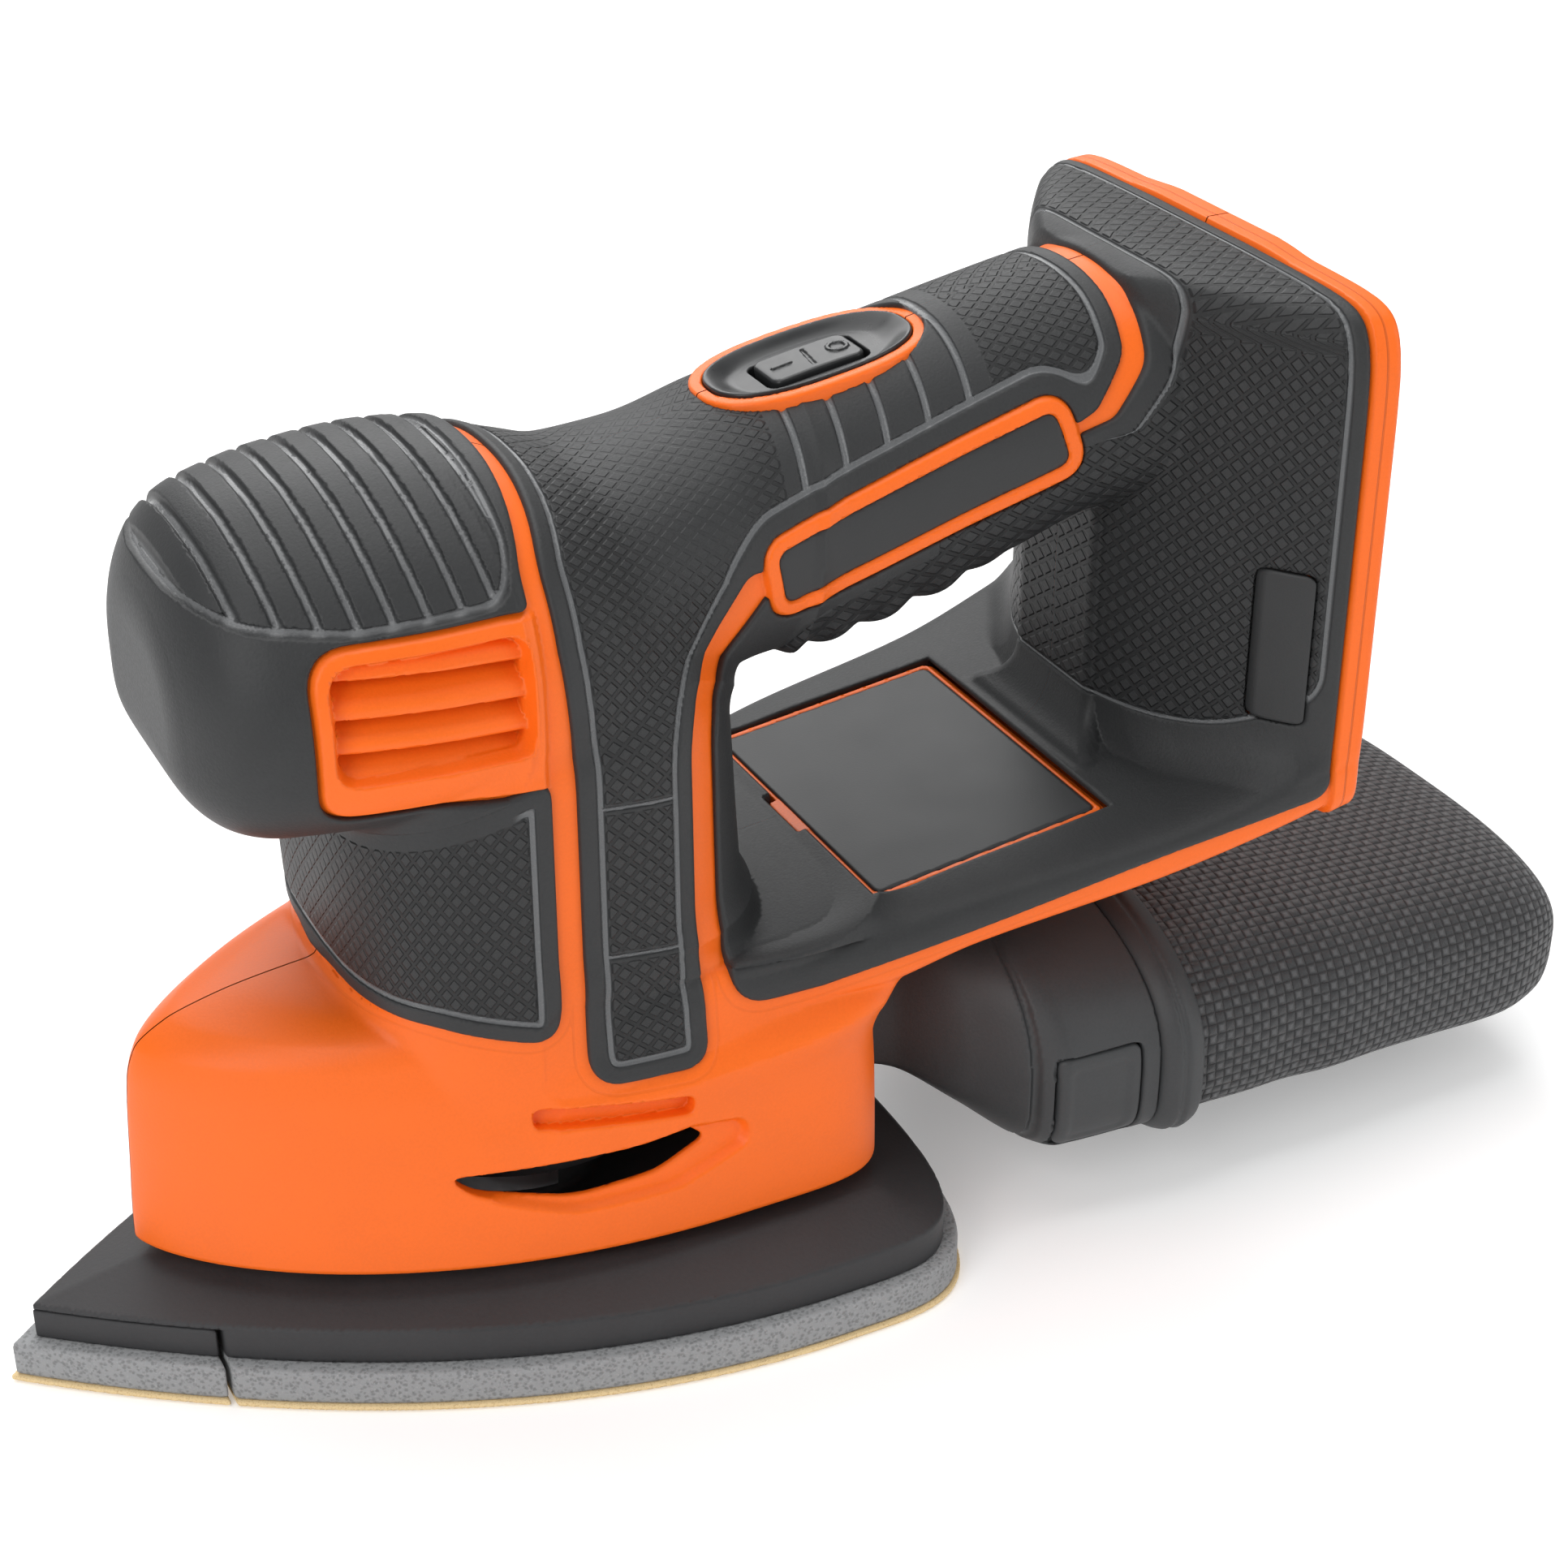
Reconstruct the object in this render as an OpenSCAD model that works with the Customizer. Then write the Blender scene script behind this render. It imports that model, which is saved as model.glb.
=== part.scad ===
// Cordless detail mouse sander with a dust bag, made as an assembly of separate pieces.
// Millimetres. +X runs from the pointed tip to the battery end, +Z is up, and the origin is the
// motor's axis on the sanding face.

/* [Sanding base] */
// Length from the motor axis to the tip of the sanding sheet
tip_reach = 78.4; // [74:0.2:80]
// Length from the motor axis to the back of the sanding sheet
back_reach = 60; // [57:0.5:62]
// Half of the greatest width of the sanding sheet
pad_half = 47.4; // [45:0.2:48]
// Thickness of the sanding sheet
sheet_t = 0.8; // [0.5:0.1:1]
// Height of the top of the foam pad
foam_top = 6.3; // [5:0.1:7]
// Height of the platen's rim
rim_top = 12; // [11:0.5:12.5]
// Where the detachable tip parts from the pad
split_x = -51.5; // [-55:0.5:-48]

/* [Drive] */
// Half of the orbit's diameter
orbit = 0.8; // [0.5:0.1:1]
// Radius of the motor can
can_r = 18; // [17:0.1:18.5]
// Radius of the fan's blades
fan_r = 25; // [22:0.5:25.5]
// Number of fan blades
fan_blades = 14; // [8:1:20]
// Bore radius of the platen bearing
bearing_bore_r = 4; // [3:0.5:4.5]
// Outer radius of the platen bearing
bearing_r = 11; // [9:0.5:11]

/* [Housing] */
// Wall thickness of the housing
wall = 2.4; // [2:0.1:3]
// How far the rubber panels stand proud of the housing
proud = 1; // [0.6:0.1:1.4]
// Half of the width of the battery end
foot_half = 42; // [39:0.5:43]
// Height of the top of the battery end
foot_top = 142.5; // [139:0.5:144]

/* [Hatch and switch] */
// Half of the width of the storage lid
lid_half = 26.5; // [24:0.5:27]
// Length of the storage lid
lid_len = 41; // [38:0.5:42]
// Slope of the storage lid
lid_slope = 7; // [5:0.5:8]
// Half of the length of the rubber switch cover
boot_a = 15.5; // [14:0.5:16]

/* [Dust bag] */
// Half of the width of the dust bag
bag_half = 40.5; // [38:0.5:41]
// Where the dust bag ends
bag_end = 172; // [165:1:174]

/* [Hidden] */

fine = 48;
orange = [0.95, 0.36, 0.08];
charcoal = [0.17, 0.175, 0.18];
black = [0.06, 0.06, 0.065];
steel = [0.72, 0.73, 0.75];
copper = [0.72, 0.42, 0.24];
brass = [0.8, 0.66, 0.3];
far_out = 200;
skin_gap = 0.3;

// ---------- points and lofts ----------

// A power that keeps the sign of its base, for superellipses.
function spow(v, e) = sign(v) * pow(abs(v), e);

// An upright ring at x: z runs from z0 to z1, widest at zm, with half width w.
function ring_yz(x, z0, zm, z1, w, n_low, n_top, k = 24) = [for (i = [0:k - 1])
    let (t = 360 * (i + 0.5) / k, e = 2 / (sin(t) > 0 ? n_top : n_low))
    [x, w * spow(cos(t), e), zm + (sin(t) > 0 ? z1 - zm : zm - z0) * spow(sin(t), e)]];

// A level ring at z: an ellipse of power n.
function ring_xy(z, x0, x1, w, n, k = 24) = [for (i = [0:k - 1])
    let (t = 360 * (i + 0.5) / k)
    [(x0 + x1) / 2 + (x1 - x0) / 2 * spow(cos(t), 2 / n), w * spow(sin(t), 2 / n), z]];

// Half of a flat-iron outline: a bowed side from the tip to the belly, then a square-shouldered back.
function iron_side(tip, belly, back, w, q, k, sh) = concat(
    [for (i = [1:k]) let (u = pow(1 - i / k, 1.6))
        [belly - (belly - tip) * u, -w * pow(1 - u * u, q)]],
    [for (i = [1:k - 2]) let (t = 90 * i / (k - 2))
        [belly + (back - belly) * spow(sin(t), sh), -w * spow(cos(t), sh)]]);

// The whole outline, counter-clockwise from the tip. q below 1 rounds the tip, sh squares the shoulders.
function iron(tip, back, w, q = 1, k = 9, sh = 0.5) =
    let (side = iron_side(tip, back - 27, back, w, q, k, sh), m = len(side))
    concat([[tip, 0]], side, [for (i = [m - 2:-1:0]) [side[i][0], -side[i][1]]]);

function lift(outline, z) = [for (p = outline) [p[0], p[1], z]];

// A closed skin through rings of equal length, each counter-clockwise as seen from the last ring's end.
module loft(rings) {
    k = len(rings[0]);
    m = len(rings);
    sides = [for (j = [0:m - 2], i = [0:k - 1])
        let (a = j * k + i, b = j * k + (i + 1) % k) each [[a, a + k, b], [b, a + k, b + k]]];
    polyhedron([for (r = rings) each r],
        concat([[for (i = [0:k - 1]) i]], sides, [[for (i = [k - 1:-1:0]) (m - 1) * k + i]]));
}

// Joins faceted solids into one clean skin.
module one_skin() resize([0, 0, 0]) union() children();

// Keeps the part of its children on one side: -1 is left (the tip ahead), 1 is right.
module side_of(side) intersection() {
    children();
    translate([-far_out, side < 0 ? -far_out : 0, -10]) cube([2 * far_out, far_out, 2 * far_out]);
}

// A prism across the tool from an outline in x and z, on one side of the middle.
module across(outline, side, from = 0, to = 60) mirror([0, side > 0 ? 0 : 1, 0])
    translate([0, to, 0]) rotate([90, 0, 0]) linear_extrude(to - from) polygon(outline);

// A round bar across the tool.
module cross_bar(x, z, r, y0, y1) translate([x, y0, z]) rotate([-90, 0, 0]) cylinder(r = r, h = y1 - y0, $fn = fine);

module tube(r_out, r_in, h) difference() {
    cylinder(r = r_out, h = h, $fn = fine);
    translate([0, 0, -1]) cylinder(r = r_in, h = h + 2, $fn = fine);
}

// ---------- the housing's outer form, grown by g (negative for its inside) ----------

skirt_foot = 17;
module skirt(g) loft([for (s = [
    [skirt_foot, -55.5, 46, 32.5], [19, -58, 48.5, 35], [32, -57.3, 48.5, 34.5], [45, -56.3, 48.5, 32.5],
    [50, -54.8, 48.5, 31.4], [53.5, -50, 47.5, 31], [55.8, -42, 46.5, 30.4], [58.2, -29, 44, 29.6]])
    let (z = s[0] <= skirt_foot && g < 0 ? s[0] - 1 : s[0] + (s[0] > 46 ? g : 0))
    lift(iron(s[1] - g, s[2] + g, s[3] + g, 0.7, 8, 0.36), z)]);

module neck(g) loft([for (s = [[40, -26, 31], [58, -26.8, 31], [80, -27.4, 30], [98, -27, 29]])
    ring_xy(s[0], s[1] - g, s[2] + g, 29.6 + g, 3.2)]);

module head(g) loft([for (s = [
    [-47, 95, 118.5, 12], [-45.8, 92, 122, 17], [-42, 89.5, 125.6, 22.5], [-35, 88.5, 128.8, 26.5],
    [-26, 88, 131, 29], [-14, 88, 131.8, 30], [-3, 88, 130.6, 30], [6, 88, 127.2, 28.6],
    [15, 90, 125, 25], [26, 95, 126.5, 20]])
    ring_yz(s[0] - (s[0] < -46 ? g : 0), s[1] - g, 104, s[2] + g, s[3] + g, 3.2, 2.2)]);

module handle(g) loft([for (s = [
    [14, 88, 124.8, 24], [26, 92, 127, 20.5], [36, 94, 130.2, 19], [48, 94.5, 133, 18.4],
    [62, 97.5, 135.6, 18.4], [76, 101.5, 138, 19], [88, 105.5, 139.8, 19.6], [98, 107, 141, 21]])
    ring_yz(s[0], s[1] - g, (s[1] + s[2]) / 2, s[2] + g, s[3] + g, 2.5, 2.2)]);

arm_front = 12;
module arm(g) loft([for (s = [
    [arm_front, 45, 58, 29], [30, 45.5, 58.5, 31], [44, 47, 59.8, 33], [60, 51.5, 62, 35],
    [88, 55.5, 65.4, 38], [105, 58, 69, 40], [117, 60, 76, foot_half]])
    ring_yz(s[0], s[1] - g, (s[1] + s[2]) / 2, s[2] + g, s[3] + g, 5, 4)]);

module foot(g) loft([for (s = [
    [89.5, 64, 138, 10], [91.5, 62, 140, 15], [96, 61, 141, 21.5], [102, 60.5, 142, 29],
    [109, 61, foot_top, 36], [114, 61.5, foot_top, foot_half - 1.5], [118.5, 62, foot_top, foot_half]])
    ring_yz(s[0] - (s[0] < 90 ? g : 0), s[1] - g, 100, s[2] + g, s[3] + g, 10, 10)]);

module body(g) {
    skirt(g);
    neck(g);
    head(g);
    handle(g);
    arm(g);
    foot(g);
}

// ---------- where things go ----------

// Screw bosses, as x, z and the length of the boss from the middle of the tool.
boss_at = [[-43, 37, 12], [40, 40, 32], [-35, 104, 24], [26, 113, 18], [83, 119, 18], [101, 132, 25],
    [101, 62.8, 35], [37, 52.6, 29.5]];
boss_r = 3.8;
pilot_r = 1.3;
screw_r = 1.5;
head_r = 3;
function head_seat(len) = min(12, len - 5);

// Posts that hold the rubber legs, as x and y.
leg_at = [[-31, 8.5], [34, 20]];
leg_r = 4;
leg_low = 16.6;
leg_seat = 27;
leg_stud_r = 2.4;
leg_stud_len = 6;
cup_r = 6.9;
cup_bore_r = 5.4;

outlet_half = 14;
outlet_z0 = 27;
outlet_z1 = 42;

deck_z = 45;
can_z0 = deck_z + wall;
can_z1 = 104;
bush_r = 5;
shaft_r = 2.5;
run_gap = 0.04;

switch_x = 50;
switch_z = 132.6;
switch_tilt = -9;
boot_b = 8.6;
bezel_t = 1.9;
rocker_z = -7;
rocker_axle_r = 1.5;

lid_x = 88;
lid_z = 65.2;
lid_t = 2;
barrel_r = 4;
pin_r = 1;
ear_r = 1.8;
ear_y0 = 12;
ear_y1 = 16;
tray_x = 8.6;
tray_deep = 9.6;
tray_t = 1.3;

pocket_x = 110;
pocket_half = 33;
pocket_top = 138;
block_z = 114;
blade_len = 13;

module at_switch() translate([switch_x, 0, switch_z]) rotate([0, switch_tilt, 0]) children();
module at_lid() translate([lid_x, 0, lid_z]) rotate([0, -lid_slope, 0]) mirror([1, 0, 0]) children();

// An oval with half length a and half width b, h high.
module oval(a, b, h) linear_extrude(h) polygon([for (t = [0:12:348])
    [a * spow(cos(t), 0.8), b * spow(sin(t), 0.8)]]);

// A box centred on y = 0 from x0 to x1 and z0 to z1.
module bar(x0, x1, half, z0, z1) translate([x0, -half, z0]) cube([x1 - x0, 2 * half, z1 - z0]);

// ---------- housing halves ----------

// Cooling louvres in the sides of the head.
module louvres() for (i = [0:2], s = [-1, 1])
    translate([-29, s < 0 ? -far_out : 18, 97.5 + 6 * i]) cube([22, far_out - 18, 3]);

// A lens-shaped vent slot in the side of the skirt.
slot_lens = concat([for (i = [0:8]) let (u = i / 8) [-17 + 36 * u, 33 - 4.5 * sin(180 * u)]],
    [[17, 35], [0, 35.6], [-15, 35]]);
module vent_slots() for (s = [-1, 1]) across(slot_lens, s, 20, 50);

lid_gap = 0.4;
lip_len = 1.2;
module storage_opening() at_lid() {
    translate([-lid_gap, -lid_half - lid_gap, -20]) cube([lid_len + 2 * lid_gap, 2 * (lid_half + lid_gap), 40]);
    translate([lid_len, -lid_half + 2, -lid_t - lid_gap]) cube([lip_len + lid_gap, 2 * lid_half - 4, 20]);
}

// Raised lip in the middle of the battery end's top rim.
module rim_lip(grow) bar(112 - grow, 120.5 + grow, 16.5 + grow, 137, foot_top + 0.8 + grow);

module half_shell(side) {
    one_skin() side_of(side) {
        difference() {
            union() {
                body(0);
                at_switch() translate([0, 0, -5]) oval(boot_a + bezel_t, boot_b + bezel_t, 6.2);
                rim_lip(0);
            }
            difference() {
                body(-wall);
                bar(-60, 50, 60, deck_z, can_z0);
                bar(-60, 20, 60, can_z1 + 3, can_z1 + 3 + wall);
                bar(-40, 22, 60, 78, 78 + wall);
                bar(pocket_x - wall, pocket_x, 60, 50, 150);
            }
            bar(pocket_x, 130, pocket_half, 30, pocket_top);
            louvres();
            vent_slots();
            storage_opening();
            at_switch() translate([0, 0, -14]) oval(boot_a + 0.01, boot_b + 0.01, 30);
            bar(40, 60, outlet_half, outlet_z0, outlet_z1);
            bar(104, 112, 7, 120, 130);
        }
    }
    for (p = boss_at) cross_bar(p[0], p[1], boss_r, side < 0 ? -p[2] : 0, side < 0 ? 0 : p[2]);
    for (p = leg_at) translate([p[0], side * p[1], leg_seat]) cylinder(r = leg_r + 1.2, h = 19, $fn = fine);
    translate([pocket_x - 0.6, side > 0 ? 25 : -30, 72]) cube([6, 5, 60]);
}

// Bores along the motor's axis and for the legs.
module axis_bores() {
    translate([0, 0, deck_z - 1]) cylinder(r = 7.2, h = 5, $fn = fine);
    translate([0, 0, can_z0]) cylinder(r = can_r, h = can_z1 - can_z0, $fn = fine);
    for (p = leg_at, s = [-1, 1])
        translate([p[0], s * p[1], leg_seat - 1]) cylinder(r = leg_stud_r, h = leg_stud_len + 1, $fn = fine);
}

// The way in for the screws, from the right side.
module screw_ways() for (p = boss_at) cross_bar(p[0], p[1], head_r + 0.3, head_seat(p[2]), 60);

// Seats for the blank badge and plaque.
module plate_seats(side) {
    name_plate(side);
    rating_plate(side);
}

module housing_left() color(orange) difference() {
    half_shell(-1);
    axis_bores();
    plate_seats(-1);
    for (p = boss_at) cross_bar(p[0], p[1], pilot_r, -p[2] + 2.5, 1);
}

module housing_right() color(orange) difference() {
    half_shell(1);
    axis_bores();
    plate_seats(1);
    for (p = boss_at) cross_bar(p[0], p[1], screw_r + 0.2, -1, p[2]);
    screw_ways();
}

module housing_screws() color(steel) for (p = boss_at) {
    seat = head_seat(p[2]);
    difference() {
        cross_bar(p[0], p[1], head_r, seat, seat + 2);
        cross_bar(p[0], p[1], 1, seat + 0.8, seat + 3);
    }
    cross_bar(p[0], p[1], pilot_r, -p[2] + 3, seat);
}

// ---------- rubber panels over the housing ----------

// A panel that stands proud of the housing on one side, inside an outline in x and z.
module panel(outline, side) one_skin() intersection() {
    difference() {
        body(proud);
        body(0);
    }
    across(outline, side);
}

// Column, saddle and the top of the handle.
grip_outline = [[0.4, 50], [1.5, 46.5], [5, 44.8], [15, 44.8], [18.4, 48], [18.6, 94], [20, 100], [25, 107],
    [31, 113], [34, 117.5], [76, 130], [83, 131.5], [86.6, 135], [86.6, 150], [0.4, 150]];
module grip(side) color(charcoal) difference() {
    panel(grip_outline, side);
    at_switch() translate([0, 0, -8]) oval(boot_a + bezel_t, boot_b + bezel_t, 16);
    if (side > 0) screw_ways();
}
module grip_left() grip(-1);
module grip_right() grip(1);

// Front of the neck, under the nose.
front_outline = [[-40, 61], [-34, 59.5], [-22, 58.5], [-13, 55.5], [-7, 54], [-4, 55.5], [-3, 59], [-3, 86],
    [-40, 86]];
module front_panel(side) color(charcoal) panel(front_outline, side);
module front_panel_left() front_panel(-1);
module front_panel_right() front_panel(1);

// Back of the column, underside of the handle, top of the arm and the battery end.
foot_outline = [[21.2, 62], [22.5, 56], [27, 52.5], [36, 52], [60, 56.5], [88, 60.3], [112, 64], [115, 67],
    [115, 150], [92, 150], [91.5, 134], [90, 127], [84, 118], [38, 104.5], [32, 103.5], [26, 99], [21.2, 94]];
module foot_panel(side) color(charcoal) difference() {
    panel(foot_outline, side);
    storage_opening();
    rim_lip(0.05);
    rating_plate(side);
    if (side > 0) screw_ways();
}
module foot_panel_left() foot_panel(-1);
module foot_panel_right() foot_panel(1);

// Bumper over the nose: it leaves the louvre frames on both sides bare.
louvre_frame = [[-33.5, 97], [-31, 94], [0, 93], [0, 117.5], [-29, 117.5], [-33.5, 113.5]];
module nose_cap() color(charcoal) difference() {
    one_skin() intersection() {
        difference() {
            body(proud);
            body(0);
        }
        bar(-60, -3.6, 60, 86.8, far_out);
    }
    for (s = [-1, 1]) across(louvre_frame, s, 5);
    screw_ways();
}

// Blank badge on the side of the handle, in its raised frame.
module name_plate(side) color(black) intersection() {
    translate([0, side * 19.7, 0]) across([[37, 105.6], [81.5, 118.4], [78, 126.6], [35, 114]], 1, -1.2, 1.2);
    bar(0, 100, 60, 0, far_out);
}
module name_plate_left() name_plate(-1);
module name_plate_right() name_plate(1);

// Blank plaque on the side of the battery end.
module rating_plate(side) color(black) translate([109.5, side * 37, 78])
    rotate([0, 0, side * 45]) translate([-3.5, -1, 0]) cube([7, 2, 24]);
module rating_plate_left() rating_plate(-1);
module rating_plate_right() rating_plate(1);

// ---------- switch ----------

module switch_boot() color(charcoal) at_switch() difference() {
    union() {
        translate([0, 0, -3]) oval(boot_a, boot_b, 2);
        difference() {
            translate([0, 0, -3]) oval(boot_a, boot_b, 4);
            translate([0, 0, -3.5]) oval(boot_a - 1.4, boot_b - 1.4, 6);
        }
    }
    bar(-8, 8, 4.6, -6, 3);
}

module switch_rocker() color(black) at_switch() {
    difference() {
        bar(-7.4, 7.4, 4, -4.2, 0.6);
        bar(-0.5, 0.5, 5, 0, 2);
    }
    bar(-3, 3, 3.2, rocker_z - 1.8, -4);
    cross_axle(6, rocker_axle_r);
}

// The rocker's axle and, with more radius, its bore.
module cross_axle(half, r) translate([0, half, rocker_z]) rotate([90, 0, 0]) cylinder(r = r, h = 2 * half, $fn = fine);

module switch_module() color(black) at_switch() difference() {
    union() {
        bar(-11, 11, 6.2, -24, -10.5);
        for (s = [-1, 1]) translate([-3, s > 0 ? 4 : -6.2, -11]) cube([6, 2.2, 6.5]);
        for (x = [-8, 0, 8]) bar(x - 1.5, x + 1.5, 0.4, -28, -24);
    }
    cross_axle(7, rocker_axle_r + run_gap);
}

// ---------- storage box under the handle ----------

// A round bar along the lid's hinge axis, which lies one barrel radius in from the rear edge and the top.
module hinge_axle(half, r) translate([barrel_r, half, -barrel_r]) rotate([90, 0, 0])
    cylinder(r = r, h = 2 * half, $fn = fine);

module storage_tray() color(charcoal) at_lid() difference() {
    union() {
        translate([tray_x, -lid_half + 3, -tray_deep])
            cube([lid_len - 3 - tray_x, 2 * lid_half - 6, tray_deep - lid_t - 0.4]);
        for (s = [-1, 1]) mirror([0, s > 0 ? 0 : 1, 0]) {
            translate([barrel_r, ear_y1, -barrel_r]) rotate([90, 0, 0])
                cylinder(r = ear_r, h = ear_y1 - ear_y0, $fn = fine);
            translate([barrel_r, ear_y0, -barrel_r - ear_r]) cube([tray_x - barrel_r + 1, ear_y1 - ear_y0, ear_r]);
        }
    }
    translate([tray_x + tray_t, -lid_half + 3 + tray_t, -tray_deep + tray_t])
        cube([lid_len - 3 - tray_x - 2 * tray_t, 2 * lid_half - 6 - 2 * tray_t, tray_deep]);
    hinge_axle(20, pin_r);
}

module storage_lid() color(orange) at_lid() difference() {
    union() {
        translate([barrel_r, -lid_half, -lid_t]) cube([lid_len - barrel_r, 2 * lid_half, lid_t]);
        translate([lid_len, -lid_half + 3, -lid_t]) cube([lip_len, 2 * lid_half - 8, lid_t + 0.3]);
        hinge_axle(lid_half, barrel_r);
    }
    translate([barrel_r, -lid_half + 1, -0.9]) cube([lid_len - barrel_r - 1, 2 * lid_half - 2, 2]);
    hinge_axle(lid_half + 1, pin_r + run_gap);
    for (s = [-1, 1]) translate([-1, s > 0 ? ear_y0 - 0.3 : -ear_y1 - 0.3, -lid_t - 10])
        cube([tray_x + 2, ear_y1 - ear_y0 + 0.6, 10]);
}

module storage_lid_panel() color(charcoal) at_lid() translate([barrel_r, -lid_half + 1, -0.9])
    cube([lid_len - barrel_r - 1, 2 * lid_half - 2, 1]);

module lid_hinge_pin() color(steel) at_lid() hinge_axle(15.5, pin_r);

// ---------- battery end ----------

module terminal_block() color(black) difference() {
    union() {
        bar(pocket_x, 117, 15, block_z, 132);
        bar(105, pocket_x, 6.5, 120.5, 129.5);
    }
    for (y = [-9, -3, 3, 9]) translate([112.5, y - 0.4, block_z - 1]) cube([3, 0.8, 9]);
}

module terminal_blades() color(copper) for (y = [-9, -3, 3, 9])
    translate([112.5, y - 0.4, block_z - blade_len]) cube([3, 0.8, blade_len + 8]);

// ---------- motor ----------

module motor_can() color(steel) difference() {
    union() {
        translate([0, 0, can_z0]) cylinder(r = can_r, h = can_z1 - 4 - can_z0, $fn = fine);
        translate([0, 0, deck_z - 0.4]) cylinder(r = 7, h = 5, $fn = fine);
    }
    translate([0, 0, can_z0 + 1.4]) cylinder(r = can_r - 1.2, h = 60, $fn = fine);
    translate([0, 0, deck_z - 1]) cylinder(r = bush_r, h = 10, $fn = fine);
}

module motor_magnets() color(charcoal) for (a = [0, 180]) rotate(a) intersection() {
    translate([0, 0, 58]) tube(can_r - 1.2, can_r - 4, 32);
    translate([0, 0, 50]) linear_extrude(50) polygon([[0, 0], [30, -42], [60, 0], [30, 42]]);
}

module motor_end_bell() color(charcoal) translate([0, 0, can_z1 - 4]) difference() {
    union() {
        cylinder(r = can_r, h = 4, $fn = fine);
        translate([0, 0, -3]) tube(can_r - 1.2, can_r - 3, 3.5);
        for (s = [-1, 1]) translate([s > 0 ? 5.9 : -11.9, -3.2, -8]) cube([6, 6.4, 8.5]);
    }
    translate([0, 0, -1]) cylinder(r = bush_r, h = 6, $fn = fine);
    for (s = [-1, 1]) translate([s > 0 ? 5.5 : -11, -2, -7]) cube([5.5, 4, 5]);
}

module motor_brushes() color(black) for (s = [-1, 1])
    translate([s > 0 ? 5.6 : -11, -2, can_z1 - 11]) cube([5.4, 4, 5]);

module bush(z) color(brass) translate([0, 0, z]) tube(bush_r, shaft_r + run_gap, 4.2);
module upper_bush() bush(can_z1 - 4);
module lower_bush() bush(deck_z - 0.2);

module motor_shaft() color(steel) translate([0, 0, 20.5]) cylinder(r = shaft_r, h = can_z1 - 20.5 + 1, $fn = fine);

module armature() color(copper) difference() {
    union() {
        translate([0, 0, 60]) cylinder(r = 9, h = 26, $fn = fine);
        for (a = [0:72:288]) rotate(a) translate([0, -3, 62]) cube([12.8, 6, 22]);
    }
    translate([0, 0, 55]) cylinder(r = shaft_r, h = 40, $fn = fine);
}

module commutator() color(copper) translate([0, 0, 89]) tube(5.5, shaft_r, 9.5);

module fan() color(black) translate([0, 0, 28]) difference() {
    union() {
        cylinder(r = 7, h = 13, $fn = fine);
        cylinder(r = fan_r, h = 1.5, $fn = 60);
        for (i = [0:fan_blades - 1]) rotate(360 * i / fan_blades) translate([6, -0.6, 0])
            cube([fan_r - 6.4, 1.2, 11.5]);
    }
    translate([0, 0, -1]) cylinder(r = shaft_r, h = 20, $fn = fine);
}

// Balance weight on the shaft's end, with the eccentric stub that drives the platen.
stub_low = 12.1;
module counterweight() color(steel) difference() {
    union() {
        translate([0, 0, 20.2]) cylinder(r = 7, h = 7.6, $fn = fine);
        translate([0, 0, 20.2]) intersection() {
            cylinder(r = 18, h = 5, $fn = fine);
            translate([-30, -30, 0]) cube([30, 60, 10]);
        }
        translate([orbit, 0, stub_low]) cylinder(r = bearing_bore_r, h = 20.5 - stub_low, $fn = fine);
    }
    translate([0, 0, 20.5]) cylinder(r = shaft_r, h = 10, $fn = fine);
    translate([orbit, 0, stub_low - 1]) cylinder(r = 1.65, h = 7, $fn = fine);
}

// ---------- platen and pad ----------

seat_z = 12.4;
bearing_h = 7;
dust_holes = [[-20, 14], [0, 24], [20, 23], [43, 7]];
hole_r = 3.5;
module dust_bores() for (p = dust_holes, s = [-1, 1])
    translate([p[0], s * p[1], -1]) cylinder(r = hole_r, h = 30, $fn = 32);

module platen_bearing() color(steel) translate([orbit, 0, seat_z]) difference() {
    tube(bearing_r, bearing_bore_r + run_gap, bearing_h);
    for (z = [-0.6, bearing_h - 0.4]) translate([0, 0, z]) tube(9.2, 6, 1);
}

module platen_screw() color(steel) translate([orbit, 0, 0]) {
    difference() {
        translate([0, 0, 9.2]) cylinder(r = 5.2, h = stub_low - 9.2, $fn = fine);
        translate([0, 0, 8.2]) cylinder(r = 2, h = 2.4, $fn = 6);
    }
    translate([0, 0, stub_low]) cylinder(r = 1.65, h = 5.5, $fn = fine);
}

module rubber_legs() color(charcoal) for (p = leg_at, s = [-1, 1]) translate([p[0], s * p[1], leg_low]) {
    cylinder(r = leg_r, h = leg_seat - leg_low, $fn = fine);
    translate([0, 0, leg_seat - leg_low]) cylinder(r = leg_stud_r, h = leg_stud_len, $fn = fine);
}

// The iron outline at a distance inside the sheet's edge.
function base_outline(inset) = iron(-tip_reach + inset * 1.2, back_reach - inset, pad_half - inset);

bevel_top = 15.4;
tip_top = 11.2;
split_gap = 0.35;
module ahead_of_split(z0, z1) translate([-far_out, -60, z0]) cube([far_out + split_x - split_gap, 120, z1 - z0]);
module behind_split(z0, z1) translate([split_x + split_gap, -60, z0]) cube([far_out, 120, z1 - z0]);

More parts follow.
